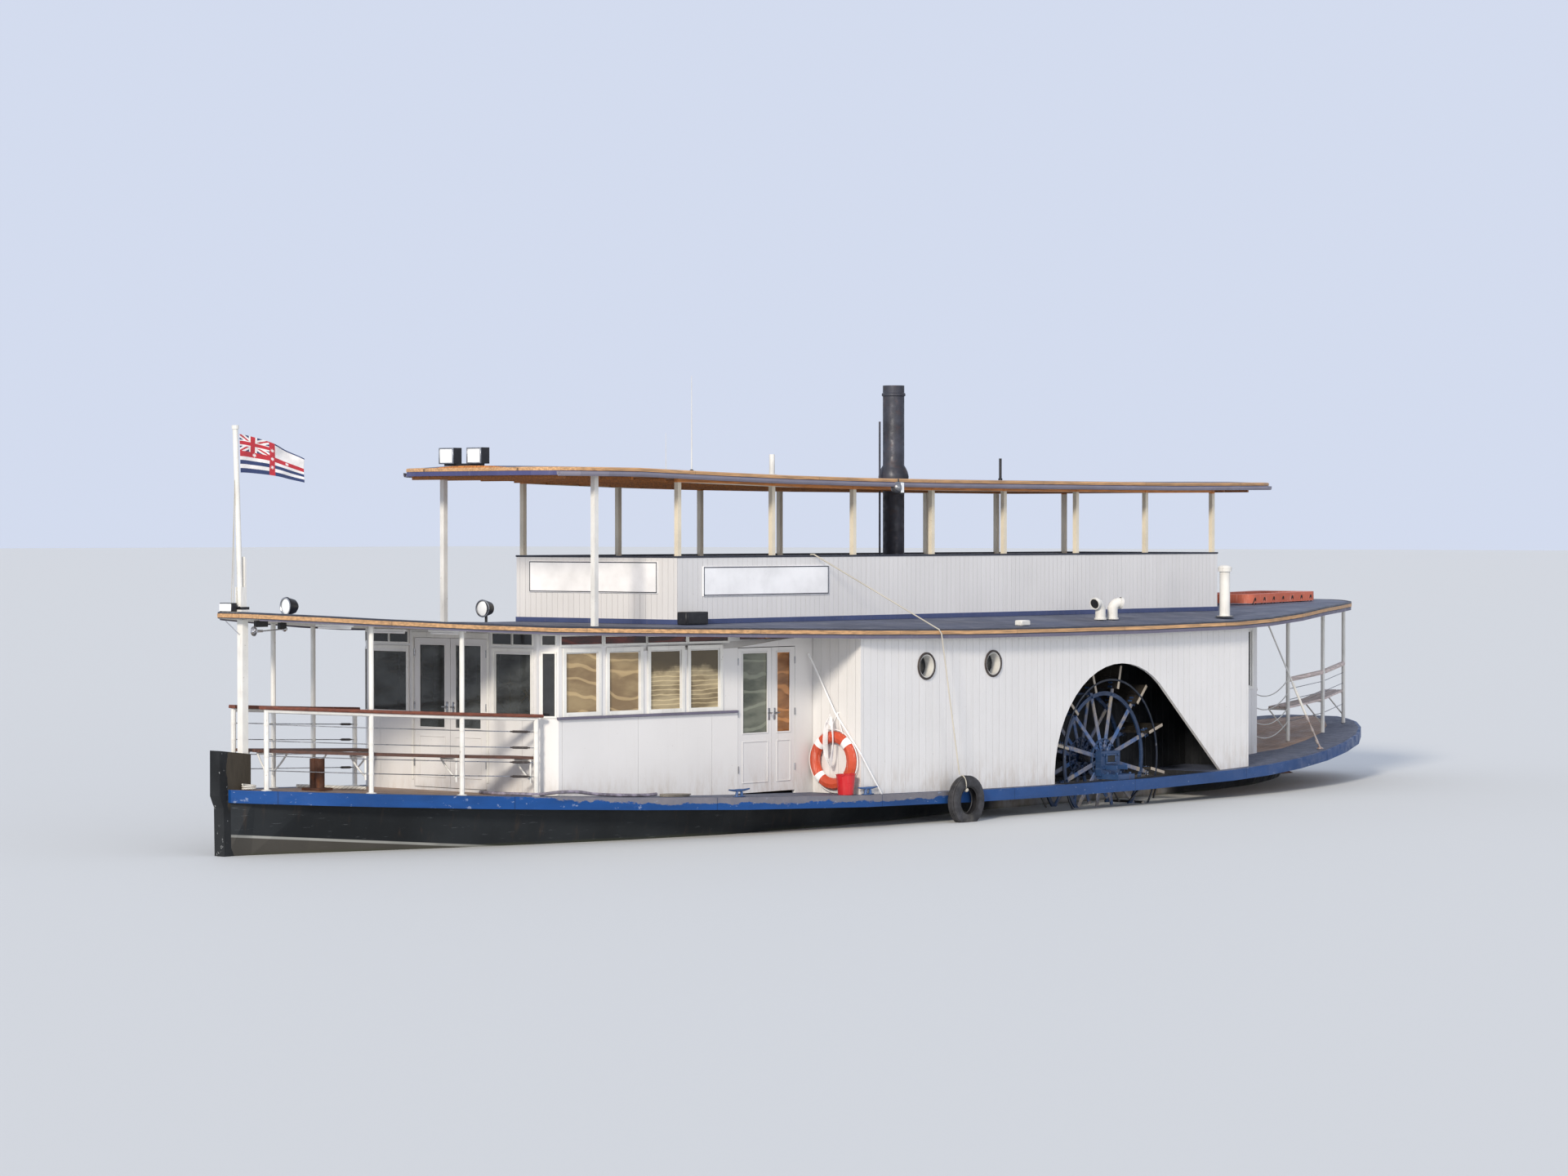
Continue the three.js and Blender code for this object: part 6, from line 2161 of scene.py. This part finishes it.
def model_life_ring():
    bands = bmesh.new()
    centre = Vector((-3.06, -2.35, 0.85))
    outline = [(0.0775 * a, 0.0575 * b) for a, b in round_outline(1.0, 16)]
    for i in range(4):
        start = math.radians(45 + 90 * i - 8)
        stations = []
        for k in range(5):
            a = start + math.radians(16) * k / 4
            out = Vector((0, math.cos(a), math.sin(a)))
            stations.append((centre + out * 0.3, out, Vector((1, 0, 0))))
        carry(bands, outline, stations)
    keep(bands, "life_ring_bands", "board_white", smooth=40)
    grab, hook = bmesh.new(), Vector((-3.03, -2.39, 1.45))
    for i in range(4):
        points = []
        for k in range(13):
            a = math.radians(45 + 90 * i + 8 + 74 * k / 12)
            bow = 0.3825 + 0.012 * math.sin(math.pi * k / 12)
            points.append(centre + Vector((0, bow * math.cos(a), bow * math.sin(a))))
        tube(grab, points, 0.006, 6)
    for y in (-0.12, 0.1):
        foot = centre + Vector((0, -0.03 + y, math.sqrt(0.375**2 - (y - 0.03) ** 2)))
        rod(grab, hook, foot, 0.005, 6)
    rod(grab, hook, (-3.001, hook.y, hook.z), 0.01, 8)
    wall_top = Vector((-3.12, -1.99, 2.2))
    corner = Vector((-3.025, -2.775, 0.94))
    line = 0.011
    rod(grab, wall_top, hook + Vector((-0.04, 0, 0)), line, 8)
    rod(grab, hook + Vector((-0.04, 0, 0)), corner, line, 8)
    rod(grab, corner, (-2.63, -2.79, 0.42), line, 8)
    keep(grab, "life_ring_lines", "rope_white", smooth=60)
    hank = []
    for k in range(6 * 12 + 1):
        a = math.tau * k / 12
        turn = k / 12
        y = hook.y + 0.03 + (0.048 + 0.006 * turn) * math.sin(a)
        z = 1.1 + (0.345 - 0.018 * turn) * math.cos(a)
        hank.append((-3.13 - 0.0095 * turn, y, z))
    add_cord("white_hank", hank, 0.0046, "rope_white", steps=240)
    bail = bmesh.new()
    low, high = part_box("bucket")
    middle = (low + high) / 2
    points = []
    for k in range(17):
        a = math.pi * k / 16
        x = middle.x + 0.122 * math.cos(a)
        points.append(
            Vector((x, middle.y - 0.03 - 0.085 * math.sin(a), high.z - 0.02 + 0.04 * math.sin(a)))
        )
    tube(bail, points, 0.004, 6)
    rim = [(0.118, 0.0), (0.125, 0.0), (0.127, 0.008), (0.12, 0.012), (0.114, 0.008), (0.118, 0.0)]
    turned(bail, rim, Vector((middle.x, middle.y, high.z - 0.008)), UP, 28)
    keep(bail, "bucket_bail", "red", smooth=40)


class AddLifeRing(bpy.types.Operator):
    """White bands, lines and hank of the life ring, and the bucket's bail"""

    bl_idname = "steamer.add_life_ring"
    bl_label = "Life ring and bucket"

    def execute(self, context):
        model_life_ring()
        return {"FINISHED"}


class AddStage(bpy.types.Operator):
    """Floor at the waterline, soft light and the camera"""

    bl_idname = "steamer.add_stage"
    bl_label = "Stage"

    def execute(self, context):
        scene = context.scene
        bm = bmesh.new()
        bmesh.ops.create_grid(bm, x_segments=2, y_segments=2, size=600)
        mesh = bpy.data.meshes.new("floor")
        bm.to_mesh(mesh)
        bm.free()
        floor = bpy.data.objects.new("floor", mesh)
        scene.collection.objects.link(floor)
        pale = Finish("pale_floor", Roughness=0.75, Base_Color=(0.62, 0.63, 0.62))
        mesh.materials.append(pale.material)

        world = bpy.data.worlds.new("studio")
        scene.world = world
        world.use_nodes = True
        back = world.node_tree.nodes["Background"]
        back.inputs["Color"].default_value = (0.76, 0.83, 1.0, 1)
        back.inputs["Strength"].default_value = 0.86

        rows = (
            ("key", "SUN", (-0.90, -0.36, 0.42), 2.9, (1.0, 0.91, 0.78), 9.0),
            ("fill", "SUN", (-0.3, -0.95, 0.06), 0.65, (1.0, 0.95, 0.90), 25.0),
        )
        for name, kind, towards, power, colour, soft in rows:
            light = bpy.data.lights.new(name, kind)
            light.energy = power
            light.color = colour
            light.angle = math.radians(soft)
            lamp = bpy.data.objects.new(name, light)
            lamp.rotation_euler = Vector(towards).to_track_quat("Z", "Y").to_euler()
            scene.collection.objects.link(lamp)
        scene.view_settings.view_transform = "Standard"

        lens = bpy.data.cameras.new("camera")
        lens.lens = 97.5
        lens.sensor_width = 36.0
        lens.clip_end = 2000.0
        camera = bpy.data.objects.new("camera", lens)
        camera.location = (-44.344, -36.763, 3.788)
        camera.rotation_euler = (math.radians(90 - 0.8035), 0.0, math.radians(-49.52))
        scene.collection.objects.link(camera)
        scene.camera = camera
        return {"FINISHED"}


STEPS = (
    AddStage,
    MixPaints,
    PaintFrame,
    AddDeckMargin,
    AddLowerRoof,
    AddCanopy,
    AddCabinWindows,
    AddBulwark,
    AddBowRails,
    AddAftRails,
    AddPortholes,
    AddDoorDetail,
    AddLamps,
    AddFunnel,
    AddGuardStruts,
    AddRoofGear,
    AddWheels,
    AddBearings,
    AddFlag,
    AddMastGear,
    AddStays,
    AddTyre,
    AddRopes,
    AddLifeRing,
)


class SteamerPanel(bpy.types.Panel):
    """Lists the pieces of the paddle steamer"""

    bl_idname = "VIEW3D_PT_steamer"
    bl_label = "Paddle steamer"
    bl_space_type = "VIEW_3D"
    bl_region_type = "UI"
    bl_category = "Steamer"

    def draw(self, context):
        layout = self.layout
        for settings in (context.scene.steamer_sizes, context.scene.steamer_colours):
            for key in settings.bl_rna.properties.keys():
                if key not in ("name", "rna_type"):
                    layout.prop(settings, key)
        for step in STEPS:
            layout.operator(step.bl_idname)


CLASSES = (SteamerSizes, SteamerColours, *STEPS, SteamerPanel)


def register():
    for each in CLASSES:
        bpy.utils.register_class(each)
    bpy.types.Scene.steamer_sizes = PointerProperty(type=SteamerSizes)
    bpy.types.Scene.steamer_colours = PointerProperty(type=SteamerColours)


def unregister():
    del bpy.types.Scene.steamer_colours
    del bpy.types.Scene.steamer_sizes
    for each in reversed(CLASSES):
        bpy.utils.unregister_class(each)


def main():
    register()
    for step in STEPS:
        family, name = step.bl_idname.split(".")
        getattr(getattr(bpy.ops, family), name)()


if __name__ == "__main__":
    main()
